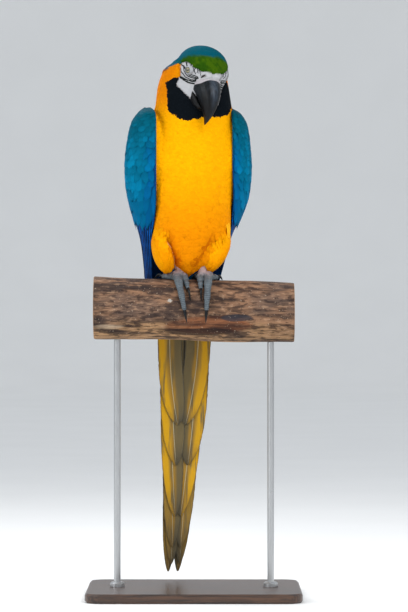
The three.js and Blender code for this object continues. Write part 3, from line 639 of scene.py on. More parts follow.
def markings(p):
    """The colour of coat and skin at a point: yellow below, blue above, the head's pattern, and painted
    shade in the creases by the thighs.
    """
    q = to_head(p)
    side, back, up = q[..., 0], q[..., 1], q[..., 2]
    height = p[..., 2]
    from_head_centre = np.linalg.norm(q, axis=-1)
    about, above = face_angles(q)
    stray = 0.5 * ripples(p, 7, 21) + 0.3 * ripples(p, 2.5, 22)

    belly = 1 - smooth(height + 6 * stray, 520, 660)
    off_thighs = np.minimum(*(limb_mass(p, *thigh) for thigh in THIGHS))
    belly = belly * (0.35 + 0.65 * smooth(off_thighs, 1, 6))
    neck = smooth(height, 700, 752) * smooth(p[..., 1] + 0.15 * (height - 720), -58, -34)
    # painted shade: a deeper orange laid into the creases between thighs and belly, by their depth
    crease_shade = np.clip(creases(p) / CREASE_DEPTH, 0, 1) ** 1.5
    colour = np.broadcast_to(linear(YELLOW), p.shape)
    colour = blend(colour, linear(ORANGE), 0.8 * belly)
    colour = blend(colour, linear(AMBER), 0.9 * neck)
    colour = blend(colour, linear(CREASE_SHADE_ORANGE), 0.8 * crease_shade)

    centre = np.interp(height, (480, 797), (4, -26))
    behind = np.degrees(np.arctan2(p[..., 1] - centre, np.abs(p[..., 0])))
    first_blue = np.interp(height, *zip(*BLUE_BACK))
    colour = blend(colour, linear(TEAL), smooth(behind + 6 * stray, first_blue, first_blue + 6))
    tail = smooth(p[..., 1] - 30 - (500 - height) * 0.1, 0, 8) * (1 - smooth(height, 520, 545))
    colour = blend(colour, linear(UNDER_BLUE), tail)

    crown_edge = np.interp(about, *zip(*CROWN_EDGE))
    crown = smooth(above - 2 * stray, crown_edge - 1.5, crown_edge + 1.5)
    crown = crown * (1 - smooth(from_head_centre, 54, 76))
    forehead = 1 - smooth(up * 0.75 + back + 0.12 * np.minimum(side, 0) + 4 * stray, 7, 17.5)
    forehead = forehead * (1 - smooth(about + 4 * stray, 101, 108))
    nape = smooth(about, 112, 150) * (1 - smooth(up, 4, 20))
    cap = blend(np.broadcast_to(linear(CROWN_TEAL), p.shape), linear(NAPE_BLUE), nape)
    cap = blend(cap, linear(GREEN), forehead)
    cap = blend(cap, linear(OLIVE), forehead * smooth(stray - 0.02 * back, 0.1, 1.0) * 0.8)
    colour = blend(colour, cap, crown)

    low = np.interp(p[..., 0], *zip(*BIB_EDGE))
    high_right = np.interp(about, (0, 80, 92, 101), (-16, -20, -27, -38))
    high_left = np.interp(about, (0, 66, 84, 101), (-4, -8, -18, -38))
    high = np.where(side > 0, high_left, high_right)
    bib = np.minimum(np.minimum(height - low, high - above), 104 - about) + 1.2 * stray
    bib = smooth(bib, -0.25, 0.25) * (1 - smooth(from_head_centre, 84, 90))
    return blend(colour, linear(BLACK), bib)


def skin_markings(p):
    """The colour of the skin: like the coat's over it, but white on the face, with painted shadow in the
    nostrils.
    """
    q = to_head(p)
    colour = blend(markings(p), linear(WHITE_SKIN), smooth(bare(q), -3.2, -1.2))
    along, away = nostril_place(np.stack((np.abs(q[..., 0]), q[..., 1], q[..., 2]), -1))
    # painted shadow: the nostril slits darkened as if deep
    dark = np.exp(-((along / 4.6) ** 4) - (away / 1.35) ** 4) * (bare(q) > 0)
    return blend(colour, linear(NOSTRIL_SHADOW), dark)


skin_finish = Paint("bare_skin", Roughness=0.5)
folds = skin_finish.noise(900, 3)
cells = skin_finish.noise(2600, 2)
shade = skin_finish.mix(folds.ramp(0.35, 0.7) * 0.25, skin_finish.kept("tint"), (196, 178, 172))
skin_material = skin_finish.finish(shade, 0.42 + 0.2 * folds, folds * 0.6 + cells * 0.4, 0.0004)
make(
    "skin", to_world(skin_points), skin_faces, skin_material,
    ["head", "neck", "trunk", "thigh_left", "thigh_right", "tail_root"],
    tint=skin_markings(skin_points),
)


# ------------------------------------------------------------------ contour feathers
# The coat of trunk, neck, thighs and head: thousands of small rounded vanes in staggered rows,
# each rooted in the skin and lying back over the next, finest round the face.
ROOT_DEPTH = 0.85  # as a share of the coat's depth
ROOT_SPACING = (0.27, 0.4)  # between rows, of a feather's length; along a row, of its width
THIGH_STEP = 0.13  # between a thigh's feathers, in radians
COAT_FRONT = (0, -30, 0)  # from the spine to the front, where the rows' spacing is taken
VANE_SIDES = (1, 2, 3)  # the groups of a vane's faces that stay flat: underside, root and tip
BILL_ROOT = (0, -34, 0)
FEATHER_SIZES = (  # distance from the middle of the head, length and width
    (30, 6.5, 2.8), (44, 8.5, 3.4), (60, 11, 5), (90, 14, 7), (150, 17, 8.5), (300, 19, 9.5),
    (420, 30, 12),
)


def vane_half(u):
    """Half a vane's width, as a share: narrow at the root, full past the middle, rounded."""
    return (0.35 + 0.65 * smooth(u, 0, 0.5)) * np.sqrt(np.maximum(1 - u**7, 0.03))


def vane_faces(count, rows, columns):
    """The faces of many closed vanes: a domed top, a flat underside, and both ends."""
    last = columns - 1
    r = np.arange(rows - 1) * columns
    top = grid_faces(rows, columns)[:, ::-1]
    under = np.stack((r, r + last, r + last + columns, r + columns), -1)[:, ::-1]
    root = np.arange(columns)[None, :]
    tip = root[:, ::-1] + (rows - 1) * columns
    offsets = (np.arange(count) * rows * columns)[:, None, None]
    return [(group[None] + offsets).reshape(-1, group.shape[1]) for group in (top, under, root, tip)]


def vane_grid(rows, columns):
    """A vane's two parameters: from root to tip, closer towards the tip, and across it."""
    u = np.linspace(0, 1, rows)[:, None] ** 0.8
    v = np.linspace(-1, 1, columns)[None, :]
    return tuple(part.reshape(-1) for part in np.broadcast_arrays(u, v))


def ragged(count, u, v, seed):
    """Uneven lengths across each vane's tip and uneven widths along its sides."""
    random = np.random.default_rng(seed)
    reach = 0.04 * random.normal(size=(count, len(u))) * u**4 - 0.07 * v**2 * u**3
    return reach, 1 + 0.07 * random.normal(size=(count, len(u)))


def lay_vanes(root, way, normal, length, width, rise, drop, grid, seed):
    """Vanes that leave the skin at root and bend along it: root + way*u + side*v + normal*height.
    The height is rise*(1-(1-u)^2) - drop*u^2, less a crown that falls away with v^2."""
    u, v = vane_grid(*grid)
    reach, spread = ragged(len(root), u, v, seed)
    side = np.cross(way, normal)
    ahead = length[:, None] * (u + reach)
    aside = width[:, None] / 2 * vane_half(u) * v * spread
    tuck = 0.6 * rise[:, None] * u**4
    height = rise[:, None] * (1 - (1 - u) ** 2) - drop[:, None] * u**2 - tuck
    height = height - 0.28 * aside**2 / width[:, None]
    axes = zip((ahead, aside, height), (way, side, normal))
    points = root[:, None] + sum(amount[..., None] * axis[:, None] for amount, axis in axes)
    return points.reshape(-1, 3), vane_faces(len(root), *grid)


def vane_values(tint, tone, grid):
    """What the plumage finish reads at each point: the colour, and place along, across, tone."""
    u, v = vane_grid(*grid)
    place = stacked(u, v, tone[:, None])
    return dict(tint=np.repeat(tint, len(u), 0), vane=place.reshape(-1, 3))


def patch(where, grid, size=0.003):
    """A small square of the unwrap for each vane, at its root's place on it."""
    u, v = vane_grid(*grid)
    square = np.stack((v / 2, u - 0.5), -1) * size
    return (where[:, None] + square).reshape(-1, 2)


def make_vanes(name, vanes, where, tint, tone, grid, material, replaces=()):
    """One object of many vanes, each with its own tint, tone and patch of the unwrap."""
    points, faces = vanes
    values = vane_values(tint, tone, grid)
    return make(name, to_world(points), faces, material, replaces, patch(where, grid), VANE_SIDES, **values)


def plumage(name, gloss, barbs, contrast, rim):
    """Feather: barbs slant out from the shaft, tips lighter and bases in painted shade where the next vanes
    lie over them, each a tone off.
    """
    paint = Paint(name, Specular_IOR_Level=0.02)
    along, across, tone = paint.parts(paint.kept("vane"))
    fray = paint.noise(260, 3)
    barb = ((along * 1.6 + across.size() * 0.5 + fray * 0.12) * barbs).wave()
    shaft = 1 - across.size().ramp(0.0, 0.14)
    light = 0.9 + 0.2 * tone
    # painted shade: each vane darkened towards its covered base
    light = light * (1 - contrast + contrast * along.ramp(0.3, 0.9))
    light = light * (1 - rim * across.size().ramp(0.6, 0.95))
    light = light + barb * 0.03 + shaft * 0.02 + (fray - 0.5) * 0.16
    rough = gloss + 0.14 * fray + 0.06 * barb
    relief = barb * 0.5 + shaft * 0.4 + fray * 0.6
    return paint.finish(paint.lit(paint.kept("tint"), light), rough, relief, 0.0001)


def ring_rows(t, rise, spacing, field):
    """Staggered roots in rings round the spine: evenly spaced along each ring's own length."""
    round_ = np.linspace(0, 2 * np.pi, 181)
    start, way = spine_rays(*np.broadcast_arrays(t[:, None], rise[:, None], round_[None, :]))
    rings = leave(field, start, way, halvings=10)
    steps = np.linalg.norm(np.diff(rings, axis=1), axis=-1)
    lengths = np.concatenate((np.zeros((len(t), 1)), np.cumsum(steps, 1)), 1)
    counts = np.maximum((lengths[:, -1] / spacing).astype(int), 1)
    places = [(np.arange(n) + 0.5 * (i % 2)) / n for i, n in enumerate(counts)]
    angle = np.concatenate([np.interp(p * run[-1], run, round_) for p, run in zip(places, lengths)])
    return np.repeat(t, counts), np.repeat(rise, counts), angle


def sizes_at(p):
    """A feather's length and width by its root's distance from the middle of the head."""
    away = np.linalg.norm(to_head(p), axis=-1)
    table = np.array(FEATHER_SIZES, float)
    return np.interp(away, table[:, 0], table[:, 1]), np.interp(away, table[:, 0], table[:, 2])


def slope(field, p, step=0.5):
    """The unit direction in which a field grows fastest: straight out of the body."""
    return unit(np.stack([field(p + step * axis) - field(p - step * axis) for axis in np.eye(3)], -1))


def laid_flat(way, normal):
    """The direction nearest to way that runs along the surface with that normal."""
    return unit(way - normal * (way * normal).sum(-1, keepdims=True))


def lie(p, normal, random):
    """Which way feathers lie: away from the bill on the head, then down, and back at the tail."""
    q = to_head(p)
    head_way = unit(q - np.array(BILL_ROOT, float)) @ HEAD_AXES.T
    back = 0.45 * (1 - smooth(p[:, 2], 480, 540)) * smooth(p[:, 1], 0, 30)
    inwards = -0.25 * np.sign(p[:, 0]) * (1 - smooth(p[:, 2], 500, 540)) * (1 - smooth(p[:, 1], 20, 40))
    down = np.stack((inwards, back, -np.ones(len(p))), -1)
    share = smooth(np.linalg.norm(q, axis=-1), 38, 74)[:, None]
    way = head_way * (1 - share) + down * share + random.normal(0, 0.05, p.shape)
    return laid_flat(way, normal)


def root_field(p):
    """Below 0 inside the surface that holds the roots: the outline, sunk by most of the coat."""
    return body(p) + ROOT_DEPTH * coat_depth(to_head(p))


def thigh_roots(centre, half, axis, lean, random):
    """Roots in rings round a thigh's own ellipsoid, and how far up (1) or down (-1) each is."""
    down = np.arange(0.12, np.pi - 0.05, THIGH_STEP)
    steps = THIGH_STEP / np.maximum(np.sin(down), 0.3)
    rings = [np.arange(0, 2 * np.pi, step) + 0.4 * k for k, step in enumerate(steps)]
    round_, down = np.concatenate(rings), np.repeat(down, [len(ring) for ring in rings])
    round_ = round_ + random.normal(0, 0.03, len(down))
    ball = np.stack((np.sin(down) * np.cos(round_), np.sin(down) * np.sin(round_), np.cos(down)), -1)
    ray = unit(ball * half @ turned(axis, lean).T)
    start = np.broadcast_to(np.array(centre, float), ray.shape)
    return leave(root_field, start, ray, reach=60), ball[:, 2]


spine_length = np.linalg.norm(np.diff(curve(SPINE, np.linspace(0, 1, 200)), axis=0), axis=-1).sum()
stops = [0.0]
while stops[-1] < 1:
    length, _ = sizes_at(curve(SPINE, np.array(stops[-1:])) + np.array(COAT_FRONT, float))
    stops.append(stops[-1] + ROOT_SPACING[0] * float(length[0]) / spine_length)
row_t = np.array(stops[:-1])
dome = np.arange(0.04, np.pi / 2 - 0.04, 0.066)
base = -np.arange(0.2, np.pi / 2, 0.25)
t_rows = np.concatenate((np.zeros_like(base), row_t, np.ones_like(dome)))
rise_rows = np.concatenate((base, np.zeros_like(row_t), dome))
_, row_width = sizes_at(curve(SPINE, t_rows) + np.array(COAT_FRONT, float))
t, rise, angle = ring_rows(t_rows, rise_rows, ROOT_SPACING[1] * row_width, root_field)
random = np.random.default_rng(7)
t = np.clip(t + random.normal(0, 0.003, len(t)) * (t > 0) * (t < 1), 0, 1)
angle = angle + random.normal(0, 0.02, len(t))
root = leave(root_field, *spine_rays(t, rise, angle))
for thigh in THIGHS:
    centre, half, axis, lean = thigh
    own, share_up = thigh_roots(*thigh, random)
    own_place = (own - np.array(centre, float)) @ turned(axis, lean)
    place = (root - np.array(centre, float)) @ turned(axis, lean)
    near = (mass(own_place, half) < 1.5) & (share_up < 0.4)
    far_off = (mass(place, half) > 1.5) | (place[:, 2] > 0.2 * half[2])
    root = np.concatenate((root[far_off], own[near]))
    t = np.concatenate((t[far_off], 0.3 + 0.03 * share_up[near]))
    rise = np.concatenate((rise[far_off], np.zeros(near.sum())))
    angle = np.concatenate((angle[far_off], np.arctan2(own[near, 1], own[near, 0])))
feathered = bare(to_head(root)) < -0.3
root, t, rise, angle = root[feathered], t[feathered], rise[feathered], angle[feathered]

normal = slope(root_field, root)
way = lie(root, normal, random)
length, width = sizes_at(root)
length = length * random.uniform(0.9, 1.1, len(root)) * (1 - 0.6 * smooth(-normal[:, 2], 0.55, 0.95))
width = width * random.uniform(0.96, 1.14, len(root))
depth = coat_depth(to_head(root)) * ROOT_DEPTH
for _ in range(2):
    drop = root_field(root + way * length[:, None]) - root_field(root)
    length = length * np.clip(1.3 - 1.1 * drop / length, 0.45, 1)
drop = root_field(root + way * length[:, None]) - root_field(root)
flank = smooth(root[:, 2], 545, 600) * (1 - smooth(root[:, 2], 670, 720))
flank = smooth(np.abs(root[:, 0]), 24, 50) * flank
lift = depth * random.uniform(1.2, 1.25, len(root)) + 0.25 + flank * np.where(root[:, 0] > 0, 1.2, 1.8)
width = width * (1 + 0.25 * flank)
tint = markings(root + way * (0.85 * length)[:, None] + normal * depth[:, None])
tone = random.beta(3, 3, len(root))
where = np.stack((
    0.02 + 0.96 * (angle / (2 * np.pi) % 1),
    0.03 + 0.94 * (t * 0.82 + 0.1 + 0.08 * rise / (np.pi / 2)),
), -1)
soft = plumage("body_feather", 0.6, 56.0, 0.08, 0.0)
head_place = to_head(root)
fine = np.linalg.norm(head_place, axis=-1) < 75
crown = head_place[:, 2] > 0
behind = root[:, 1] > 8
high = root[:, 2] > 620
for name, chosen, grid in (
    ("crown_coat", fine & crown, (5, 3)), ("throat_coat", fine & ~crown, (5, 3)),
    ("breast_coat", ~fine & ~behind & high, (5, 5)),
    ("belly_coat", ~fine & ~behind & ~high, (5, 5)), ("back_coat", ~fine & behind, (5, 5)),
):
    laid = [row[chosen] for row in (root, way, normal, length, width, lift, drop)]
    vanes = lay_vanes(*laid, grid, 5)
    make_vanes(name, vanes, where[chosen], tint[chosen], tone[chosen], grid, soft)


# ------------------------------------------------------------------ flank plumes
# Three long pale feathers of the left flank, hanging loose over the top of the thigh.
PLUME_HEIGHTS, PLUME_FRONT = (572.0, 568, 574), (-52.0, -46, -40)
PLUME_LENGTHS, PLUME_WIDTHS, PLUME_GRID = (38.0, 34, 36), (10.0, 9, 9), (12, 7)
PLUME_YELLOW = (254, 178, 26)

random = np.random.default_rng(19)
aim = unit(np.stack((np.full(3, 100.0), np.array(PLUME_FRONT), np.zeros(3)), -1))
spine_place = np.array(PLUME_HEIGHTS)[:, None] * (0, 0, 1)
root = leave(root_field, spine_place, aim)
normal = slope(root_field, root)
way = laid_flat(np.array((0.0, 0.12, -1)) + random.normal(0, 0.01, (3, 3)), normal)
length, width = np.array(PLUME_LENGTHS), np.array(PLUME_WIDTHS)
drop = np.minimum(root_field(root + way * length[:, None]), 0.25 * length)
vanes = lay_vanes(root - 3 * normal, way, normal, length, width, np.full(3, 9.5), drop, PLUME_GRID, 20)
tint = np.broadcast_to(linear(PLUME_YELLOW), (3, 3))
where = np.array(((0.06, 0.4), (0.07, 0.41), (0.08, 0.42)))
make_vanes("flank_plumes", vanes, where, tint, np.array((0.6, 0.5, 0.4)), PLUME_GRID, soft)


# ------------------------------------------------------------------ wings
# Each folded wing is a curved sheet wrapped round the side of the body: a web of skin and quill
# bases, thin lower down, with rows of coverts over it. The flight feathers lie on the web.
WING = (  # height, front edge out and back, bulge out and back, rear edge out and back, thickness
    (732, 62, -8, 66, 0, 60, 6, 3), (723, 57, -28, 88, -14, 56, 20, 5),
    (702, 56.5, -36, 116, -12, 41, 42, 6), (650, 56.6, -36, 134, 0, 28, 56, 6.5),
    (605, 57.5, -28, 132, 8, 16, 63, 6.5), (567, 58.5, -10, 112, 24, 9, 67, 5.5),
    (532, 60, 18, 84, 42, 12, 76, 4.5), (496, 55, 42, 70, 66, 17, 88, 3.5),
    (458, 49, 68, 62, 82, 20, 93, 2.8), (420, 42, 84, 38, 90, 20, 97, 2.2),
    (388, 28, 96, 26, 97, 23, 98, 1),
)
WING_HELD_OUT = {"left": (-6, -12), "right": (8, 8)}  # at the shoulder, and lower down
COVERT_ROWS = (  # height of the roots, length, width
    (730.5, 13, 8), (728, 14, 8.5), (725, 15, 9), (720, 16, 9), (715, 17, 9.5), (709, 18, 10),
    (702, 19, 10), (695, 20, 10.5), (688, 21, 11), (680, 22, 11.5), (672, 23, 12), (664, 25, 12),
    (655, 27, 13), (646, 29, 13), (636, 32, 14), (625, 36, 15), (613, 42, 16), (600, 50, 17),
)
TEAL_DEEP, TEAL_MID, TEAL_LIGHT = (1, 78, 94), (1, 103, 135), (3, 130, 172)
PRIMARY_BLUE, FRONT_BLUE = (0, 98, 196), (1, 86, 150)
WEB_TOP, WEB_FOOT, WEB_ROWS, WEB_ACROSS = 727, 389, 110, 30
COVERT_GRID = (7, 5)


def wing_middle(name, height, t):
    """The wing's middle sheet and its outward direction: at each height a quadratic Bezier."""
    s = np.linspace(0, 1, 400)
    ups = curve(WING, s)[:, 0]
    share = np.interp(-height, -ups, s)
    _, fx, fy, bx, by, rx, ry, thick = np.moveaxis(curve(WING, share), -1, 0)
    high, low = WING_HELD_OUT[name]
    out = (low + (high - low) * smooth(height, 480, 600)) * smooth(height, 388, 480)
    fx, bx = fx + 0.5 * high * smooth(height, 560, 660), bx + 1.7 * out
    x = (1 - t) ** 2 * fx + 2 * t * (1 - t) * bx + t**2 * rx
    y = (1 - t) ** 2 * fy + 2 * t * (1 - t) * by + t**2 * ry
    dx = 2 * (1 - t) * (bx - fx) + 2 * t * (rx - bx)
    dy = 2 * (1 - t) * (by - fy) + 2 * t * (ry - by)
    pace = np.hypot(dx, dy) + 1e-6
    thick = np.maximum(0.5, thick * np.sin(np.pi * (0.04 + 0.92 * np.clip(t, 0, 1))) ** 0.6)
    return x, y, dy / pace, -dx / pace, pace, thick


def wing_point(name, height, t, lift):
    """A point of a wing by height, share across from front to rear, and lift off its middle."""
    height, t, lift = np.broadcast_arrays(height, t, lift)
    x, y, nx, ny, _, _ = wing_middle(name, height, t)
    side = 1 if name == "left" else -1
    return np.stack((side * (x + lift * nx), y + lift * ny, height), -1)


def wing_vanes(name, height, t, length, width, lift, sweep, grid, seed, cup=0.3):
    """Vanes that follow the sheet: down it by length*u, across it by half a width*v, raised from
    the first to the second of the lifts as u goes on, and crowned across."""
    u, v = vane_grid(*grid)
    reach, spread = ragged(len(height), u, v, seed)
    down = height[:, None] - length[:, None] * (u + reach)
    aside = width[:, None] / 2 * vane_half(u) * v * spread
    pace = wing_middle(name, height, t)[4]
    across = t[:, None] + sweep[:, None] * u + aside / pace[:, None]
    raised = lift[0][:, None] + (lift[1] - lift[0])[:, None] * (1 - (1 - u) ** 2)
    raised = raised - cup * aside**2 / width[:, None] - 1.1 * u**4
    across = np.where(across < 0.03, 0.03 * np.exp(np.minimum(across, 0.03) / 0.03 - 1), across)
    return wing_point(name, down, across, raised).reshape(-1, 3), vane_faces(len(height), *grid)


def wing_tint(height, t, tone):
    """Blue of the wing: greener and deeper at the shoulder, lighter down the outer face, and
    bluer along the front edge and at the foot."""
    light = 1 - smooth(height, 640, 736)
    edge = (1 - smooth(t, 0.02, 0.15)) * (1 - smooth(height, 660, 700))
    colour = blend(linear(TEAL_DEEP), linear(TEAL_MID), light)
    colour = blend(colour, linear(TEAL_LIGHT), 0.5 * light * smooth(tone, 0.35, 0.9))
    colour = blend(colour, linear(FRONT_BLUE), 0.7 * edge)
    return blend(colour, linear(FRONT_BLUE), 0.35 * (1 - smooth(height, 560, 640)))


blue_vane = plumage("blue_covert", 0.5, 40.0, 0.24, 0.08)
web_finish = Paint("wing_web", Specular_IOR_Level=0.05)
down = web_finish.noise(500, 3, (1, 1, 0.3))
up = web_finish.parts(web_finish.place)[2]
shade = web_finish.mix(down, (2, 44, 92), (2, 74, 132))
shade = web_finish.mix(up.ramp(0.63, 0.69), shade, (2, 84, 104))
web_material = web_finish.finish(shade, 0.6, down, 0.0005)
for name, seed in (("left", 31), ("right", 32)):
    heights = np.linspace(WEB_TOP, WEB_FOOT, WEB_ROWS)[:, None]
    share = np.linspace(0.004, 0.996, WEB_ACROSS)
    around_t = np.concatenate((share, share[::-1]))[None, :]
    face = np.repeat((1, -1), WEB_ACROSS)[None, :]
    thick = wing_middle(name, heights, around_t)[5]
    full = smooth(heights, 584, 606)
    half = 0.3 + (np.maximum(0.35, thick * 0.55 - 0.4) - 0.3) * full
    web, web_faces = closed(wing_point(name, heights, around_t, face * half - 0.34 * thick * (1 - full)))
    replaced = [f"wing_coverts_{name}", f"wing_primaries_{name}"]
    make(f"wing_web_{name}", to_world(web), web_faces, web_material, replaced)

    random = np.random.default_rng(seed)
    rows = []
    for k, (height, length, width) in enumerate(COVERT_ROWS):
        across = float(wing_middle(name, np.array(min(height, 722.0)), np.array(0.5))[4])
        count = int(across / (0.5 * width))
        t = 0.02 + 0.95 * (np.arange(count) + 0.5 * (k % 2) + 0.1) / count
        rows.append(stacked(height, t, length, width))
    height, t, length, width = np.concatenate(rows).T
    height = height + random.normal(0, 0.9, len(height))
    t = t + random.normal(0, 0.006, len(t))
    length = length * random.uniform(0.9, 1.1, len(t))
    tone = random.beta(2.4, 2.4, len(t))
    thick = wing_middle(name, height - 0.7 * length, t)[5]
    rooted = wing_middle(name, height, t)[5]
    lift = (rooted * 0.55 - 0.5, thick * 0.85 + 1.5 + random.normal(0, 0.15, len(t)))
    sweep = random.normal(0.0, 0.02, len(t))
    vanes = wing_vanes(name, height, t, length, width, lift, sweep, COVERT_GRID, 9)
    tint = wing_tint(height - 0.6 * length, t, tone)
    where = np.stack((0.03 + 0.94 * np.clip(t, 0, 1), 0.03 + 0.94 * (height - 380) / 370), -1)
    make_vanes(f"wing_coverts_{name}_vanes", vanes, where, tint, tone, COVERT_GRID, blue_vane)


# ------------------------------------------------------------------ flight feathers
# Ten stiff primaries and ten secondaries a wing: long narrow vanes on dark shafts, deep blue
# outside and near black on the inner web, closed like a fan one over the next.
FLIGHT_GRID, PRIMARIES, SECONDARIES = (26, 9), 10, 10


def flight_half(u):
    """Half a flight feather's width as a share: even, then tapering to a rounded point."""
    return (0.55 + 0.45 * smooth(u, 0, 0.18)) * (1 - 0.25 * u) * np.sqrt(np.maximum(1 - u**9, 0.02))


flight = Paint("flight_feather", Roughness=0.4, Specular_IOR_Level=0.08)
along, across, tone = flight.parts(flight.kept("vane"))
barb = ((along * 7 + across.size() * 0.8) * 110).wave()
shaft = 1 - across.size().ramp(0.03, 0.1)
split = flight.noise(90, 4, (1, 1, 0.25))
inner = across.ramp(-0.1, 0.12)
# painted shadow: a near black margin along the vane's other edge, standing for the shade between one
# feather and the next
edge_shadow = 1 - (across + (split - 0.5) * 0.3).ramp(-0.86, -0.6)
shade = flight.layers(
    flight.kept("tint"),
    (inner * 0.94, (2, 10, 40)),
    (edge_shadow * 0.92, (1, 8, 34)),
    (shaft * 0.7, (6, 12, 26)),
)
light = 0.85 + 0.4 * tone + barb * 0.05 + (split - 0.5) * 0.4
flight_relief = barb * 0.3 + shaft + split * 0.5
flight_material = flight.finish(flight.lit(shade, light), 0.36 + 0.1 * split, flight_relief, 0.0002)

for name, seed in (("left", 41), ("right", 42)):
    random = np.random.default_rng(seed)
    n = np.arange(PRIMARIES)
    primaries = dict(
        top=612 - 3.0 * n, end=389 + 9.5 * n, t=0.03 + 0.038 * n, end_t=0.07 + 0.07 * n,
        width=14 + 0.3 * n, level=-0.5 + 0.14 * n,
    )
    n = np.arange(SECONDARIES)
    secondaries = dict(
        top=606 - 1.5 * n, end=476 + 5.0 * n, t=0.4 + 0.062 * n, end_t=0.42 + 0.058 * n,
        width=19 + 0.2 * n, level=0.8 + 0.12 * n,
    )
    count = PRIMARIES + SECONDARIES
    top, end, t, end_t, width, level = (
        np.concatenate((primaries[key], secondaries[key]))[:, None] for key in primaries
    )
    u, v = vane_grid(*FLIGHT_GRID)
    reach = 0.004 * random.normal(size=(count, len(u))) - 0.015 * v**2 * u**6
    height = top - (top - end) * (u + reach)
    line = t + (end_t - t) * u
    *_, pace, thick = wing_middle(name, height, line)
    spread = 1 + 0.012 * random.normal(size=(count, len(u)))
    aside = width / 2 * flight_half(u) * v * spread * np.minimum(1, pace / 2.4 / width)
    lift = level * (thick * 0.42 + 0.4) - 0.01 * aside**2 - 0.06 * aside + 0.4
    points = wing_point(name, height, np.clip(line + aside / pace, 0.01, 0.995), lift).reshape(-1, 3)
    tone = random.beta(3, 3, count)
    blue = blend(linear(PRIMARY_BLUE), linear(TEAL_MID), 0.5 * (np.arange(count) >= PRIMARIES))
    place = np.stack((0.05 + 0.045 * np.arange(count), np.full(count, 0.5)), -1)
    square = np.stack((v * 0.018, (u - 0.5) * 0.9), -1)
    make(
        f"flight_feathers_{name}", to_world(points), vane_faces(count, *FLIGHT_GRID), flight_material,
        uv=(place[:, None] + square).reshape(-1, 2), flat=VANE_SIDES,
        **vane_values(blue, tone, FLIGHT_GRID),
    )


# ------------------------------------------------------------------ tail
# Six pairs of long graduated tail feathers: blue above, and below dull olive with golden yellow
# along the white shafts and slate edges, each pair lying over the next and all nearly closed.
TAIL = dict(root=500, back=81, slope=0.08, drift=-3.6e-5, pitch=1.25, thick=0.8)
TAIL_CAMBER, TAIL_CAMBER_WIDTH, TAIL_FOOT = 7, 45, 52  # the foot is hidden in the tail root
TAIL_FEATHERS = (  # length, half width, root, lean of the left tip and the right tip, bow
    (474, 13, 5, 5, -10, 2), (462, 14, 7, 7, -6, 3), (436, 16, 9, 7, -6, 4),
    (388, 17, 11, 4, -4, 9), (309, 19, 13, 12, -6, 8), (247, 19, 14, 6, -6, 12),
)
TAIL_GRID = (64, 13)


def tail_half(half, t):
    """Half a tail feather's width: opening at the root, tapering from the middle to a round tip."""
    tip = np.where(t < 0.5, 1, np.maximum(0, 1 - np.maximum((t - 0.5) / 0.5, 0) ** 5) ** 0.7)
    return half * np.minimum(1, (t / 0.22) ** 0.5) * tip


def tail_place(order, side, t, u, lift):
    """A point of a tail feather: down its length by t, across it by u, and lifted off it."""
    length, half, root, left_lean, right_lean, bow = TAIL_FEATHERS[order]
    lean = left_lean if side > 0 else right_lean
    fallen = length * t
    shaft = side * root * (1 - t) + lean * t + side * bow * 4 * t * (1 - t)
    x = shaft + u * tail_half(half, t)
    layer = TAIL["pitch"] * (2 * order + (0 if side > 0 else 1))
    y = TAIL["back"] + TAIL["slope"] * fallen - layer - TAIL_CAMBER * (x / TAIL_CAMBER_WIDTH) ** 2
    return np.stack((x + TAIL["drift"] * fallen**2, y + lift, TAIL["root"] - fallen), -1)


tail_paint = Paint("tail_feather", Roughness=0.45, Specular_IOR_Level=0.15)
along, across, tone = tail_paint.parts(tail_paint.kept("vane"))
upper, outer, _ = tail_paint.parts(tail_paint.kept("tint"))
streaks = tail_paint.noise(160, 4, (1, 1, 0.035))
cloud = tail_paint.noise(40, 3, (1, 1, 0.4))
barb = ((along * 6 + across.size() * 1.1) * 60).wave()
shaft = 1 - across.size().ramp(0.015, 0.045)
gold_band = (1 - across.size().ramp(0.12, 0.5)) * streaks.ramp(0.34, 0.58)
outer_gold = outer * across.ramp(0.1, 0.5) * streaks.ramp(0.3, 0.5)
edge = across.size().ramp(0.9, 0.99)
tip = along.ramp(0.86, 0.99)
below = tail_paint.layers(
    tail_paint.mix(cloud, (92, 82, 56), (120, 104, 70)),
    (gold_band * 0.55, (186, 136, 22)),
    (outer_gold * 0.9, (214, 160, 14)),
    (edge * 0.6, (66, 70, 72)),
    (tip * 0.45, (70, 70, 66)),
    (shaft * 0.8, (190, 178, 146)),
)
above = tail_paint.layers(
    tail_paint.mix(streaks, (6, 74, 122), (10, 110, 160)),
    (edge * 0.5, (16, 40, 66)),
    (shaft, (16, 24, 32)),
)
shade = tail_paint.mix(upper, below, above)
light = 0.86 + 0.28 * tone + barb * 0.05
tail_relief = barb * 0.4 + shaft * 1.2 + streaks * 0.4
tail_material = tail_paint.finish(tail_paint.lit(shade, light), 0.42 + 0.12 * streaks, tail_relief, 0.0004)

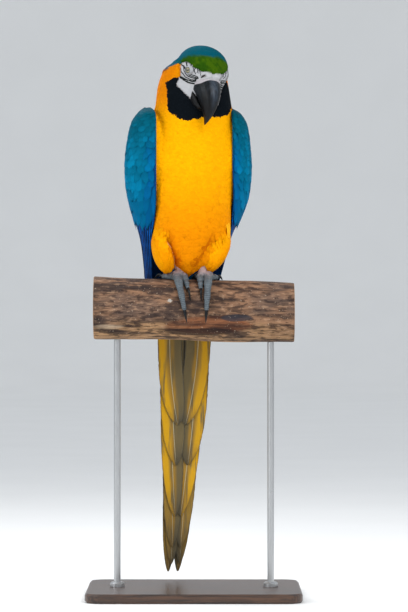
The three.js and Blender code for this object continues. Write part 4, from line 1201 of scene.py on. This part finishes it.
random = np.random.default_rng(51)
rows, columns = TAIL_GRID
count = rows * columns
side_points = np.arange(count).reshape(rows, columns)
rim = np.concatenate((
    side_points[:, 0], side_points[-1, 1:], side_points[:-1, -1][::-1], side_points[0, 1:-1][::-1],
))
rim_faces = np.stack((rim, np.roll(rim, -1), np.roll(rim, -1) + count, rim + count), -1)[:, ::-1]
tail_faces = [grid_faces(rows, columns), grid_faces(rows, columns, first=count)[:, ::-1], rim_faces]
for order in range(len(TAIL_FEATHERS)):
    for name, side in (("left", 1), ("right", -1)):
        first = TAIL_FOOT / TAIL_FEATHERS[order][0]
        run = first + (0.997 - first) * (1 - (1 - np.linspace(0, 1, rows)) ** 1.5)
        t, u = np.meshgrid(run, np.linspace(-1, 1, columns), indexing="ij")
        wide = u * (1 + random.normal(0, 0.012, t.shape))
        half_thick = TAIL["thick"] / 2 * (1 - u**2) + 0.12
        ridge = 0.55 * np.exp(-((u / 0.07) ** 2)) * (1 - 0.6 * t)
        rear = tail_place(order, side, t, wide, half_thick)
        front = tail_place(order, side, t, wide, -half_thick - ridge)
        points = np.concatenate((rear.reshape(-1, 3), front.reshape(-1, 3)))
        place = np.stack((t, u * side, np.full(t.shape, random.beta(3, 3))), -1).reshape(-1, 3)
        marks = np.zeros((2 * count, 3))
        marks[:count, 0] = 1
        marks[:, 1] = 1.0 if order > 2 else 0.35
        square = np.stack((0.25 + u * 0.22, 0.04 + 0.92 * t), -1).reshape(-1, 2)
        make(
            f"tail_feather_{name}_{order + 1}_vane", to_world(points), tail_faces, tail_material,
            [f"tail_feather_{name}_{order + 1}"], uv=np.concatenate((square, square + (0.5, 0))),
            flat=(2,), vane=np.concatenate((place, place)), tint=marks,
        )


# ------------------------------------------------------------------ face feathers
# Rows of tiny black feathers on the bare skin: they start together at the lores, run back
# below the eye and fan up round it, and the lowest row is the thickest. Rooted in the skin.
FACE_ROWS = (  # width of a feather, then places on the head: degrees from the bill and above level
    (2.6, (33, -11), (35, -18), (40, -23), (51, -26), (63, -26.5), (74, -25), (83, -23.5)),
    (2.1, (35, -11), (42, -18.4), (53, -21.7), (64, -23), (76, -22)),
    (1.5, (35, -9), (45.5, -16), (57, -18.4), (68, -18.3), (76, -15), (84.5, -12), (90, -8)),
    (1.5, (31, -5.7), (43, -10.2), (54, -12.8), (65, -13), (74.6, -8.2), (81.6, -2.5), (84, 2)),
    (1.4, (30, -4), (37.6, -5.6), (48.5, -8.3), (57.8, -9.3), (66.3, -7.1), (72.7, -4), (77, 1)),
    (1.3, (33, -2.6), (44, -3.4), (52, -5.2), (58.8, -4.6), (64.5, -1.2), (68, 3)),
    (2.0, (77.5, -2.4), (83.6, 2.2), (91, 2)),
    (2.4, (67.9, -0.9), (71.9, 3), (76.3, 8.2), (83, 12.5)),
    (1.9, (64.5, 12), (70.2, 18)),
    (1.7, (52.5, 3.5), (54.5, 9.9), (59.7, 14.2), (61, 17)),
    (1.5, (50.4, 12), (55.5, 18)),
    (1.3, (41.7, 1.2), (45.7, 3.5), (50, 7), (51, 10)),
    (1.3, (41, 4.5), (42, 10.7), (45.7, 16)),
    (1.2, (35.5, 5), (37.4, 10.7), (40.3, 15.5)),
    (0.9, (30, 2), (31, 7.3), (33, 12.5)),
)
FACE_GRID, FACE_STEP = (4, 3), 1.25
FACE_BLACK = (22, 27, 26)


def on_face(about, above, side):
    """The skin's point at those angles round the head, on the left (1) or the right (-1)."""
    a, e = np.radians(about), np.radians(above)
    ray = np.stack((side * np.sin(a) * np.cos(e), -np.cos(a) * np.cos(e), np.sin(e)), -1)
    start = np.broadcast_to(np.array(HEAD_CENTRE, float), ray.shape)
    return leave(skin_field, start, ray @ HEAD_AXES.T, reach=80)


random = np.random.default_rng(61)
rows = []
for side in (1, -1):
    for row_width, *stops in FACE_ROWS:
        run = on_face(*curve(stops, np.linspace(0, 1, 60)).T, side)
        travelled = np.concatenate(((0,), np.cumsum(np.linalg.norm(np.diff(run, axis=0), axis=-1))))
        at = np.arange(0.4, travelled[-1], FACE_STEP)
        root = np.stack([np.interp(at, travelled, run[:, k]) for k in range(3)], -1)
        ahead = np.stack([np.interp(at + 0.8, travelled, run[:, k]) for k in range(3)], -1)
        rows.append(np.column_stack((root, ahead - root, np.full(len(at), row_width))))
rows = np.concatenate(rows)
from_eye = np.linalg.norm(np.abs(to_head(rows[:, :3])) - np.abs(EYE_SURFACE), axis=-1)
ends = np.linalg.norm(rows[:, 3:6], axis=-1) < 0.05
rows = rows[(from_eye > LID_RADIUS + 0.7) & ~ends]
root, way, width = rows[:, :3], rows[:, 3:6], rows[:, 6]
normal = slope(skin_field, root)
way = laid_flat(way + random.normal(0, 0.05, way.shape), normal)
count = len(root)
length = random.uniform(2.6, 3.4, count)
width = width * random.uniform(0.85, 1.15, count)
lift = random.uniform(0.55, 0.85, count)
drop = skin_field(root + way * length[:, None])
vanes = lay_vanes(root - normal * 0.15, way, normal, length, width, lift, drop, FACE_GRID, 8)
tint = np.broadcast_to(linear(FACE_BLACK), (count, 3))
where = np.stack(((np.arange(count) % 30 + 0.5) / 30, (np.arange(count) // 30 + 0.5) / 30), -1)
make_vanes("face_feathers", vanes, where, tint, random.beta(3, 3, count), FACE_GRID, soft)


# ------------------------------------------------------------------ nostrils
# A painted shadow in each nostril: a slender plug of matt black sunk in its groove in the skin, standing
# for the shade of the hollow.
NOSTRIL_HALF, NOSTRIL_GRID = (4.6, 0.85, 0.7), (24, 20)  # half its length, width and depth

# painted shadow: near black, standing for the shade inside the nostril
hollow = Paint("nostril_hollow", Specular_IOR_Level=0.1)
murk = hollow.noise(900, 3)
nostril_shadow_material = hollow.finish(hollow.mix(murk, (12, 10, 11), (30, 26, 27)), 0.8, murk, 0.0003)
polar = np.linspace(0.05, np.pi - 0.05, NOSTRIL_GRID[0])[:, None]
turn = full_turn(NOSTRIL_GRID[1])[None, :]
ball = stacked(np.cos(polar), np.sin(polar) * np.cos(turn), np.sin(polar) * np.sin(turn)) * NOSTRIL_HALF
for name, side in (("left", 1), ("right", -1)):
    ray = unit(np.array(NOSTRIL) * (side, 1, 1)) @ HEAD_AXES.T
    spot = leave(skin_field, np.array([HEAD_CENTRE], float), ray[None])
    out = slope(body, spot)[0]
    ahead = laid_flat(np.array(NOSTRIL_WAY) * (side, 1, 1) @ HEAD_AXES.T, out)
    plug, plug_faces = closed(spot[0] + out * 0.15 + ball @ np.stack((ahead, np.cross(out, ahead), out)))
    make(f"nostril_{name}", to_world(plug), plug_faces, nostril_shadow_material)


# ------------------------------------------------------------------ eyes
# Glass eyes: a pale straw iris streaked from a small black pupil out to a dark rim, under a
# clear polished front, each held by a fleshy ring of lids set into the skin.
EYE_RINGS, LID_RINGS = (40, 64), (22, 72)
EYE_BACK, LID_END = 0.75 * np.pi, np.radians(86)  # angles from the eye's axis

iris = Paint("glass_eye", Roughness=0.06, Coat_Weight=1.0, Coat_Roughness=0.02)
polar, around, _ = iris.parts(iris.kept("vane"))
ray_place = iris.node("ShaderNodeCombineXYZ", {}, around * 14, polar * 1.5, 0.0)
rays = iris.node("ShaderNodeTexNoise", {}, Vector=ray_place, Scale=1.6, Detail=3.0)
shade = iris.layers(
    iris.mix(rays, (132, 126, 84), (176, 171, 132)),
    (polar.ramp(0.30, 0.52) * 0.35, (112, 102, 60)),
    (polar.ramp(0.52, 0.60), (18, 16, 14)),
    (1 - polar.ramp(0.19, 0.215), (4, 4, 5)),
)
iris_material = iris.finish(shade)
lid = Paint("lid_skin", Roughness=0.5)
across = lid.parts(lid.kept("vane"))[0]
crease = lid.noise(1500, 3)
shade = lid.mix(crease, (146, 148, 151), (172, 174, 178))
shade = lid.mix(1 - across.ramp(0.03, 0.16), shade, (40, 38, 38))
lid_material = lid.finish(shade, 0.45, crease, 0.0004)


def eye_point(centre, axis, polar, about, radius):
    """A point round the eye by its angle from the axis, its turn about it and its distance."""
    level = unit(np.cross(axis, (0.0, 0, 1)))
    ring = level * np.cos(about)[..., None] + np.cross(level, axis) * np.sin(about)[..., None]
    return centre + radius[..., None] * (axis * np.cos(polar)[..., None] + ring * np.sin(polar)[..., None])


def eye_radius(polar):
    """The eye's radius, with the clear front's low swell of 0.35 at the axis."""
    return EYE_RADIUS + 0.35 * np.exp(-((polar / 0.55) ** 2))


for name, side in (("left", 1), ("right", -1)):
    surface = from_head(EYE_SURFACE * (side, 1, 1))
    axis = slope(body, surface[None])[0]
    centre = surface + axis * (EYE_PROUD - EYE_RADIUS)
    polar = np.linspace(0.02, 1, EYE_RINGS[0]) * EYE_BACK
    polar, about = np.meshgrid(polar, full_turn(EYE_RINGS[1]), indexing="ij")
    ball = eye_point(centre, axis, polar, about, eye_radius(polar))
    ball, ball_faces = closed(ball, (centre + axis * eye_radius(0), ball[-1].mean(0)))
    place = np.stack((polar / (np.pi / 2), about / (2 * np.pi), np.zeros(polar.shape)), -1)
    place = np.concatenate((place.reshape(-1, 3), ((0, 0, 0), (1.5, 0, 0))))
    make(f"eyeball_{name}", to_world(ball), ball_faces, iris_material, [f"eye_{name}"], vane=place)

    s, about = np.meshgrid(np.linspace(0, 1, LID_RINGS[0]), full_turn(LID_RINGS[1]), indexing="ij")
    oval = 1 - 0.12 * np.cos(2 * about)
    opening = np.arcsin((LID_RADIUS - 0.6) * oval / (EYE_RADIUS + 0.4))
    polar = opening + (LID_END - opening) * s
    start = np.broadcast_to(centre, polar.shape + (3,))
    ways = eye_point(centre, axis, polar, about, np.ones(polar.shape)) - centre
    to_skin = np.linalg.norm(leave(skin_field, start, ways, reach=22) - centre, axis=-1) - 0.25
    over_ball = eye_radius(polar) + 0.2
    fold = 0.1 * np.sin(s * 26 + 0.8 * np.sin(about * 3)) * np.sin(np.pi * s)
    lip = 0.5 * np.exp(-(((s - 0.1) / 0.09) ** 2))
    share = smooth(s, 0.1, 1)
    height = np.maximum((over_ball + 0.2) * (1 - share) + to_skin * share, over_ball) + lip + fold
    rim = eye_point(centre, axis, polar, about, height)
    under = eye_point(centre, axis, polar, about, EYE_RADIUS - 0.6 - 1.4 * s)
    ring = np.concatenate((rim, under[::-1]))
    rows, columns = ring.shape[:2]
    ring_faces = [grid_faces(rows + 1, columns, wrap=True) % (rows * columns)]
    place = np.zeros((rows * columns, 3))
    place[:, 0] = np.concatenate((s, s[::-1])).reshape(-1)
    make(f"lids_{name}", to_world(ring.reshape(-1, 3)), ring_faces, lid_material, vane=place)


# ------------------------------------------------------------------ bill
# Two shells of hard slate black horn over bone: the long hooked upper half with its ridge and
# faint growth lines, and the short deep lower half it closes over. Rooted under the cere.
CULMEN = dict(start=(39.5, 3.5), end=(63, -59.8), sagitta=16.8)
BILL_EDGE = ((13, -19.5), (35, -23), (48, -32), (59.5, -56))
BILL_KEEL = ((15, -43), (28, -53), (42, -52), (48, -41))
BILL_RIM = ((10, -17), (24, -24), (36, -31), (47, -40))
UPPER_WIDTHS, LOWER_WIDTHS = (20, 18.8, 15.4, 11.2, 6.4, 1.4), (21.5, 20.6, 18, 13.6, 9)
BILL_ROOTED, BILL_GRID = 9, (120, 61, 17)
CERE = (0.02, 0.1)
BILL_FLOOR = 2  # stands for the angle round the bill on the floor, beyond both edges


def bezier(corners, t):
    """A cubic Bezier curve in the middle plane: forward and up."""
    a, b, c, d = np.array(corners, float)
    t = t[:, None]
    return (1 - t) ** 3 * a + 3 * (1 - t) ** 2 * t * b + 3 * (1 - t) * t * t * c + t**3 * d


def culmen(t):
    """The ridge of the upper bill, an arc through its two ends that rises by the sagitta."""
    start, end = np.array(CULMEN["start"], float), np.array(CULMEN["end"], float)
    chord = np.linalg.norm(end - start)
    radius = chord * chord / (8 * CULMEN["sagitta"]) + CULMEN["sagitta"] / 2
    open_ = np.arcsin(chord / 2 / radius)
    turn = -open_ + 2 * open_ * t
    along = 0.5 + radius * np.sin(turn) / chord
    bulge = radius * (np.cos(turn) - np.cos(open_))
    across = np.array((-(end - start)[1], (end - start)[0])) / chord
    return start + (end - start) * along[:, None] + across * bulge[:, None]


def horn_shell(middle, edge, widths, hollow, relief):
    """Arched rings from a middle line to two edges: out by half*sin(a), down by 1-cos(a)^0.6, and
    a hollowed floor between the edges. Gives points, faces and each point's place on the shell."""
    rows, arch, floor_count = BILL_GRID
    t = np.linspace(0, 1, rows)
    ridge, low = middle(t), bezier(edge, t)
    half = curve(np.array(widths, float)[:, None], t)[:, :1]
    depth = np.linalg.norm(low - ridge, axis=-1, keepdims=True)
    down = (low - ridge) / np.maximum(depth, 1e-6)
    turn = np.linspace(-np.pi / 2, np.pi / 2, arch)[None, :]
    level = np.linspace(0.98, -0.98, floor_count)[None, :]
    x = np.concatenate((half * np.sin(turn), half * level), 1)
    arch_fall, floor_fall = 1 - np.abs(np.cos(turn)) ** 0.6, 1 - hollow * (1 - level**2)
    fall = depth * np.concatenate((arch_fall, floor_fall), 1)
    whole = np.concatenate((turn, np.full_like(level, BILL_FLOOR)), 1)
    growth = relief(t[:, None], whole)
    x = x * (1 + growth / np.maximum(half, 3))
    facing = np.clip(np.concatenate((turn, np.zeros_like(level)), 1), -1.5, 1.5)
    fall = fall - growth * np.cos(facing)
    forward = ridge[:, :1] + down[:, :1] * fall
    up = ridge[:, 1:] + down[:, 1:] * fall
    rings = np.stack((x, -forward, up), -1)
    rooted = rings[:1] * (0.92, 1, 0.95) + (0, BILL_ROOTED, 0)
    points, faces = closed(np.concatenate((rooted, rings)))
    place = stacked(t[:, None], np.abs(whole), 0.0)
    place = np.concatenate((place[:1], place)).reshape(-1, 3)
    return from_head(points), faces, np.concatenate((place, ((0, 0, 0), (1, 0, 0))))


def upper_relief(t, turn):
    """Fine growth lines near the root, a low ridge on top and a shallow groove at each side."""
    lines = 0.06 * np.sin(t * 150 + 3 * np.cos(turn * 2)) * (1 - smooth(t, 0.1, 0.5))
    groove = -0.5 * np.exp(-(((np.abs(turn) - 0.95) / 0.12) ** 2)) * (1 - smooth(t, 0.3, 0.9))
    ridge = 0.45 * np.exp(-((turn / 0.1) ** 2)) * smooth(t, 0.02, 0.2)
    cere_end = CERE[0] + (CERE[1] - CERE[0]) * smooth(np.abs(turn), 0.17, 1.2)
    return lines + groove + ridge + 0.5 * (1 - smooth(t, cere_end - 0.02, cere_end))


def lower_relief(t, turn):
    """Growth lines only, finer than above."""
    return 0.02 * np.sin(t * 60 + 2 * turn)


horn = Paint("slate_horn", Roughness=0.3, Specular_IOR_Level=0.17)
share, turned_by, _ = horn.parts(horn.kept("vane"))
cere = 1 - (share - turned_by.ramp(0.17, 1.2) * (CERE[1] - CERE[0])).ramp(CERE[0] - 0.012, CERE[0])
vertical = horn.noise(420, 4, (1, 1, 0.12))
cloud = horn.noise(70, 3)
scuff = horn.noise(1500, 3, (1, 1, 0.4))
shade = horn.layers(
    horn.mix(vertical.ramp(0.3, 0.7), (6, 8, 10), (25, 30, 36)),
    # painted highlight: a lighter blue-grey streaked along the ridge
    ((1 - turned_by.ramp(0.05, 0.5)) * vertical * 0.7, (82, 94, 110)),
    (share.ramp(0.3, 0.62) * 0.85, (7, 7, 8)),
    ((share * (2 - share)).ramp(0.985, 1.0) * 0.6, (60, 30, 14)),
    (cloud.ramp(0.45, 0.7) * 0.4, (22, 20, 19)),
    (scuff.ramp(0.6, 0.75) * vertical.ramp(0.45, 0.7) * 0.5, (84, 92, 102)),
    (cere, horn.mix(scuff, (150, 143, 146), (182, 178, 182))),
)
rough = 0.3 + 0.2 * scuff + 0.15 * cere
horn_material = horn.finish(shade, rough, vertical * 0.7 + scuff * 0.3, 0.0002)
for name, middle, edge, widths, hollow_share, relief in (
    ("bill_upper", culmen, BILL_EDGE, UPPER_WIDTHS, 0.12, upper_relief),
    ("bill_lower", lambda t: bezier(BILL_KEEL, t), BILL_RIM, LOWER_WIDTHS, 0.15, lower_relief),
):
    points, faces, place = horn_shell(middle, edge, widths, hollow_share, relief)
    place[:, 0] += name == "bill_lower"
    make(f"{name}_horn", to_world(points), faces, horn_material, [name], vane=place)


# ------------------------------------------------------------------ feet
# Two toes forward and two back, gripping the branch: dark grey scaly skin over bone, with broad
# scutes on top and soft pads below, paler at the ankle, and a curved black claw on each toe.
GAP = 0.3  # between toes and branch
FOOT_PLACE, FOOT_ANGLE, FOOT_LIFT = {"left": 14, "right": -19.5}, 12, 9
FOOT_PAD = (9, 8.28)  # half its length and its radius
ANKLE = {"left": (-2, 2, 34), "right": (-12, 2, 34)}
TOES = (  # name, root and end along the branch for each foot, angles round it, thickness, claw
    ("outer_front", (8, 4.6), (7, -5.6), (16, 91), (7, 3.1), 22),
    ("inner_front", (-5, -3.8), (-4.8, -10.8), (18, 51), (5.4, 2.8), 22),
    ("outer_back", (7, 21), (7, 28), (18, 4), (5.4, 3.6), 8),
    ("inner_back", (-7, -15), (-5, -6), (6, -22), (5, 3.6), 12),
)
TOE_GRID, CLAW_GRID, SCUTE_PITCH = (110, 36), (40, 20), 2.6
SHANK_GRID, PAD_RINGS, FOOT_VOXEL = (60, 30), 24, 0.65


def from_branch(points):
    """The direction and distance from the branch's middle line to each point."""
    x = points[:, 0]
    return points - np.stack((x, np.zeros_like(x), PERCH_HEIGHT + PERCH_FALL * x), -1)


def tube(path, radius, round_):
    """Rings round a path: at each point a circle of that radius, which may vary round it too.
    The angle starts at the side and passes the outside of the branch at a quarter turn."""
    along = unit(np.gradient(path, axis=0))
    side = unit(np.cross(along, from_branch(path)))
    top = np.cross(side, along)
    rings = path[:, None] + radius[..., None] * (
        side[:, None] * np.cos(round_)[None, :, None] + top[:, None] * np.sin(round_)[None, :, None]
    )
    points, faces = closed(rings, (path[0], path[-1]))
    return points, outwards(points, faces)


def toe_line(name, toe, t):
    """The middle of a toe at t from 0 to 1, or of its claw beyond 1, and its thickness there."""
    side = 1 if name == "left" else -1
    _, left, right, angles, thick, claw = toe
    first, last = left if side > 0 else right
    reach = claw / abs(angles[1] - angles[0])
    toe_thick = thick[0] + (thick[1] - thick[0]) * t + 0.35 * np.cos(t * 6 * np.pi)
    claw_share = np.clip((t - 1) / reach, 0, 1)
    claw_thick = thick[1] * 0.96 + (0.4 - thick[1] * 0.96) * claw_share**1.2
    arch = np.where(t > 1, 3 * np.maximum(0, 1 - 16 * (t - 1.25) ** 2), 0)
    half = np.where(t <= 1, toe_thick, claw_thick)
    angle = np.radians(angles[0] + (angles[1] - angles[0]) * t)
    x = FOOT_PLACE[name] + side * (first + (last - first) * t)
    return perch_point(x, angle, half + GAP + arch), half, reach


def merge(parts):
    """Several closed meshes as one list of points and faces."""
    points, quads, tris, first = [], [], [], 0
    for part, (grid, *caps) in parts:
        quads.append(grid + first)
        tris += [cap + first for cap in caps]
        points.append(part)
        first += len(part)
    return np.concatenate(points), [np.concatenate(quads), np.concatenate(tris)]


scaly = Paint("scaly_foot", Roughness=0.55)
height = scaly.parts(scaly.place)[2]
travelled, near_claw, topside = scaly.parts(scaly.kept("vane"))
to_edge = {"feature": "DISTANCE_TO_EDGE"}
cells = scaly.node("ShaderNodeTexVoronoi", to_edge, Vector=scaly.place, Scale=620.0)
cloud = scaly.noise(180, 4)
plate = cells.ramp(0.0, 0.16)
ring = ((travelled + cloud * 0.6) * (6.283 / SCUTE_PITCH)).wave().ramp(-0.95, -0.45)
scute = 1 - topside * near_claw * (1 - ring)
plate = plate * (1 - topside * near_claw) + topside * near_claw
pale = (height * 1000 + (cloud - 0.5) * 14).ramp(479, 491)
shade = scaly.layers(
    scaly.mix(cloud, (54, 62, 68), (112, 125, 133)),
    ((1 - plate) * 0.5, (120, 128, 132)),
    ((1 - scute) * 0.75, (34, 40, 45)),
    (pale * 0.85, (206, 178, 176)),
)
foot_material = scaly.finish(shade, 0.5 + 0.15 * cloud, plate * 0.5 + scute * 0.8 + cloud * 0.2, 0.0008)
claw_paint = Paint("black_claw", Roughness=0.3, Specular_IOR_Level=0.25)
streak = claw_paint.noise(900, 3, (1, 0.3, 0.3))
shade = claw_paint.mix(streak, (7, 8, 10), (24, 27, 30))
claw_material = claw_paint.finish(shade, 0.24 + 0.2 * streak, streak, 0.0002)

toe_round, claw_round, shank_round = (full_turn(grid[1]) for grid in (TOE_GRID, CLAW_GRID, SHANK_GRID))
for name in ("left", "right"):
    parts, lines = [], []
    for toe in TOES:
        t = np.linspace(0, 1.0, TOE_GRID[0])
        path, half, reach = toe_line(name, toe, t)
        scutes = 13 if toe[0] == "outer_front" else 8
        scute = (0.5 - (t * scutes) % 1)[:, None] * np.clip(np.sin(toe_round), 0, 1) * 0.13
        pad = 0.1 * np.sin(t * 3 * np.pi)[:, None] ** 2 * np.clip(-np.sin(toe_round), 0, 1)
        dome = np.sqrt(np.clip(1 - np.maximum(0, (t - 0.94) / 0.06) ** 2, 0.16, 1))
        parts.append(tube(path, (half * dome)[:, None] * (1 + scute + pad), toe_round))
        steps = np.linalg.norm(np.diff(path, axis=0), axis=-1)
        travelled = np.concatenate(((0,), np.cumsum(steps)))
        lines.append(np.column_stack((path, travelled, smooth(t, 0.25, 0.55))))
        path, half, _ = toe_line(name, toe, np.linspace(1.001, 1 + reach, CLAW_GRID[0]))
        path[0] += (path[0] - path[1]) * 2
        flatten = 1 - 0.12 * np.abs(np.cos(claw_round))
        claw = tube(path, half[:, None] * flatten, claw_round)
        make(f"claw_{name}_{toe[0]}_horn", *claw, claw_material, [f"claw_{name}_{toe[0]}"])
    heel = perch_point(float(FOOT_PLACE[name]), np.radians(FOOT_ANGLE), FOOT_LIFT)
    s = np.linspace(-0.12, 1, SHANK_GRID[0])
    shank = heel + s[:, None] * np.array(ANKLE[name], float)
    ring = 7 - 1.1 * np.sin(np.clip(s, 0, 1) * np.pi * 0.8) + 0.25 * (0.5 - (s * 11) % 1)
    parts.append(tube(shank, np.broadcast_to(ring[:, None], SHANK_GRID), shank_round))
    polar = np.linspace(0.05, np.pi - 0.05, PAD_RINGS)
    pad_path = heel + np.cos(polar)[:, None] * np.array((FOOT_PAD[0], 0.0, 0))
    pad_ring = np.broadcast_to((FOOT_PAD[1] * np.sin(polar))[:, None], (PAD_RINGS, SHANK_GRID[1]))
    parts.append(tube(pad_path, pad_ring, shank_round))
    points, faces = merge(parts)
    foot = make(f"foot_{name}_skin", points, faces, foot_material, [f"foot_{name}"])
    remesh = foot.modifiers.new("blend", "REMESH")
    remesh.mode, remesh.voxel_size, remesh.use_smooth_shade = "VOXEL", FOOT_VOXEL / 1000, True
    soften = foot.modifiers.new("soften", "SMOOTH")
    soften.factor, soften.iterations = 0.5, 2
    bpy.context.view_layer.update()
    blended = foot.evaluated_get(bpy.context.evaluated_depsgraph_get())
    foot.data = bpy.data.meshes.new_from_object(blended)
    foot.modifiers.clear()
    seats = np.empty(3 * len(foot.data.vertices))
    foot.data.vertices.foreach_get("co", seats)
    seats, line = seats.reshape(-1, 3) * 1000, np.concatenate(lines)
    nearest = np.concatenate([
        np.linalg.norm(block[:, None] - line[None, :, :3], axis=-1).argmin(1)
        for block in np.array_split(seats, 40)
    ])
    upwards = (unit(seats - line[nearest, :3]) * unit(from_branch(seats))).sum(-1)
    values = (line[nearest, 3], line[nearest, 4], smooth(upwards, -0.1, 0.4))
    keep_values(foot.data, "vane", np.column_stack(values))


# ------------------------------------------------------------------ studio
# A pale round floor that curves up far out into a seamless wall, a large soft light high on the
# right, weaker ones from the left and behind, and the camera level with the model's middle.
FLOOR_FLAT, FLOOR_BEND, FLOOR_WALL, FLOOR_ROUND = 10.0, 2.5, 2.0, 96
CAMERA_PLACE, CAMERA_FRAME_HEIGHT = (0.015, -4.5, 0.435), 0.918  # height of view at the model
SURROUND_COLOUR, SURROUND_STRENGTH = (0.86, 0.9, 0.95, 1), 0.76

bend = np.linspace(0, np.pi / 2, 17)[1:]
flat_reach = np.linspace(0.5, FLOOR_FLAT, 12)
end_reach, end_rise = [FLOOR_FLAT + FLOOR_BEND], [FLOOR_BEND + FLOOR_WALL]
reach = np.concatenate((flat_reach, FLOOR_FLAT + FLOOR_BEND * np.sin(bend), end_reach))[:, None]
rise = np.concatenate((np.zeros_like(flat_reach), FLOOR_BEND * (1 - np.cos(bend)), end_rise))[:, None]
about = full_turn(FLOOR_ROUND)
floor_points = stacked(reach * np.cos(about), reach * np.sin(about), rise).reshape(-1, 3)
floor_faces = grid_faces(len(reach), FLOOR_ROUND, wrap=True)[:, ::-1].tolist()
floor_faces += fan_faces(np.arange(FLOOR_ROUND), len(floor_points)).tolist()
floor_mesh = bpy.data.meshes.new("floor")
floor_mesh.from_pydata([*floor_points.tolist(), (0, 0, 0)], [], floor_faces)
floor_mesh.polygons.foreach_set("use_smooth", np.ones(len(floor_mesh.polygons), bool))
paper = Paint("pale_paper")
tone = paper.mix(paper.noise(3, 2), (240, 240, 239), (246, 246, 245))
floor_mesh.materials.append(paper.finish(tone, 0.9))
floor = add_object("floor", floor_mesh)


def soft_light(name, place, power, width, target=(0, 0, 0.5)):
    """A square soft light that faces a point of the model."""
    light = bpy.data.lights.new(name, "AREA")
    light.energy, light.size = power, width
    lamp = add_object(name, light)
    lamp.location = place
    lamp.rotation_euler = (Vector(target) - Vector(place)).to_track_quat("-Z", "Y").to_euler()


soft_light("key_light", (1.3, -2.1, 2.2), 50, 1.5)
soft_light("side_light", (-2.0, -1.3, 1.3), 24, 1.3)
soft_light("back_light", (-0.6, 0.9, 1.9), 16, 0.9)
world = bpy.data.worlds.new("surround")
world.use_nodes = True
surround = world.node_tree.nodes["Background"]
surround.inputs["Color"].default_value = SURROUND_COLOUR
surround.inputs["Strength"].default_value = SURROUND_STRENGTH
bpy.context.scene.world = world
bpy.context.scene.view_settings.view_transform = "Standard"

lens = bpy.data.cameras.new("camera")
lens.sensor_width = 36
lens.lens = lens.sensor_width * -CAMERA_PLACE[1] / CAMERA_FRAME_HEIGHT
camera = add_object("camera", lens)
camera.location = CAMERA_PLACE
camera.rotation_euler = (np.pi / 2, 0, 0)
bpy.context.scene.camera = camera
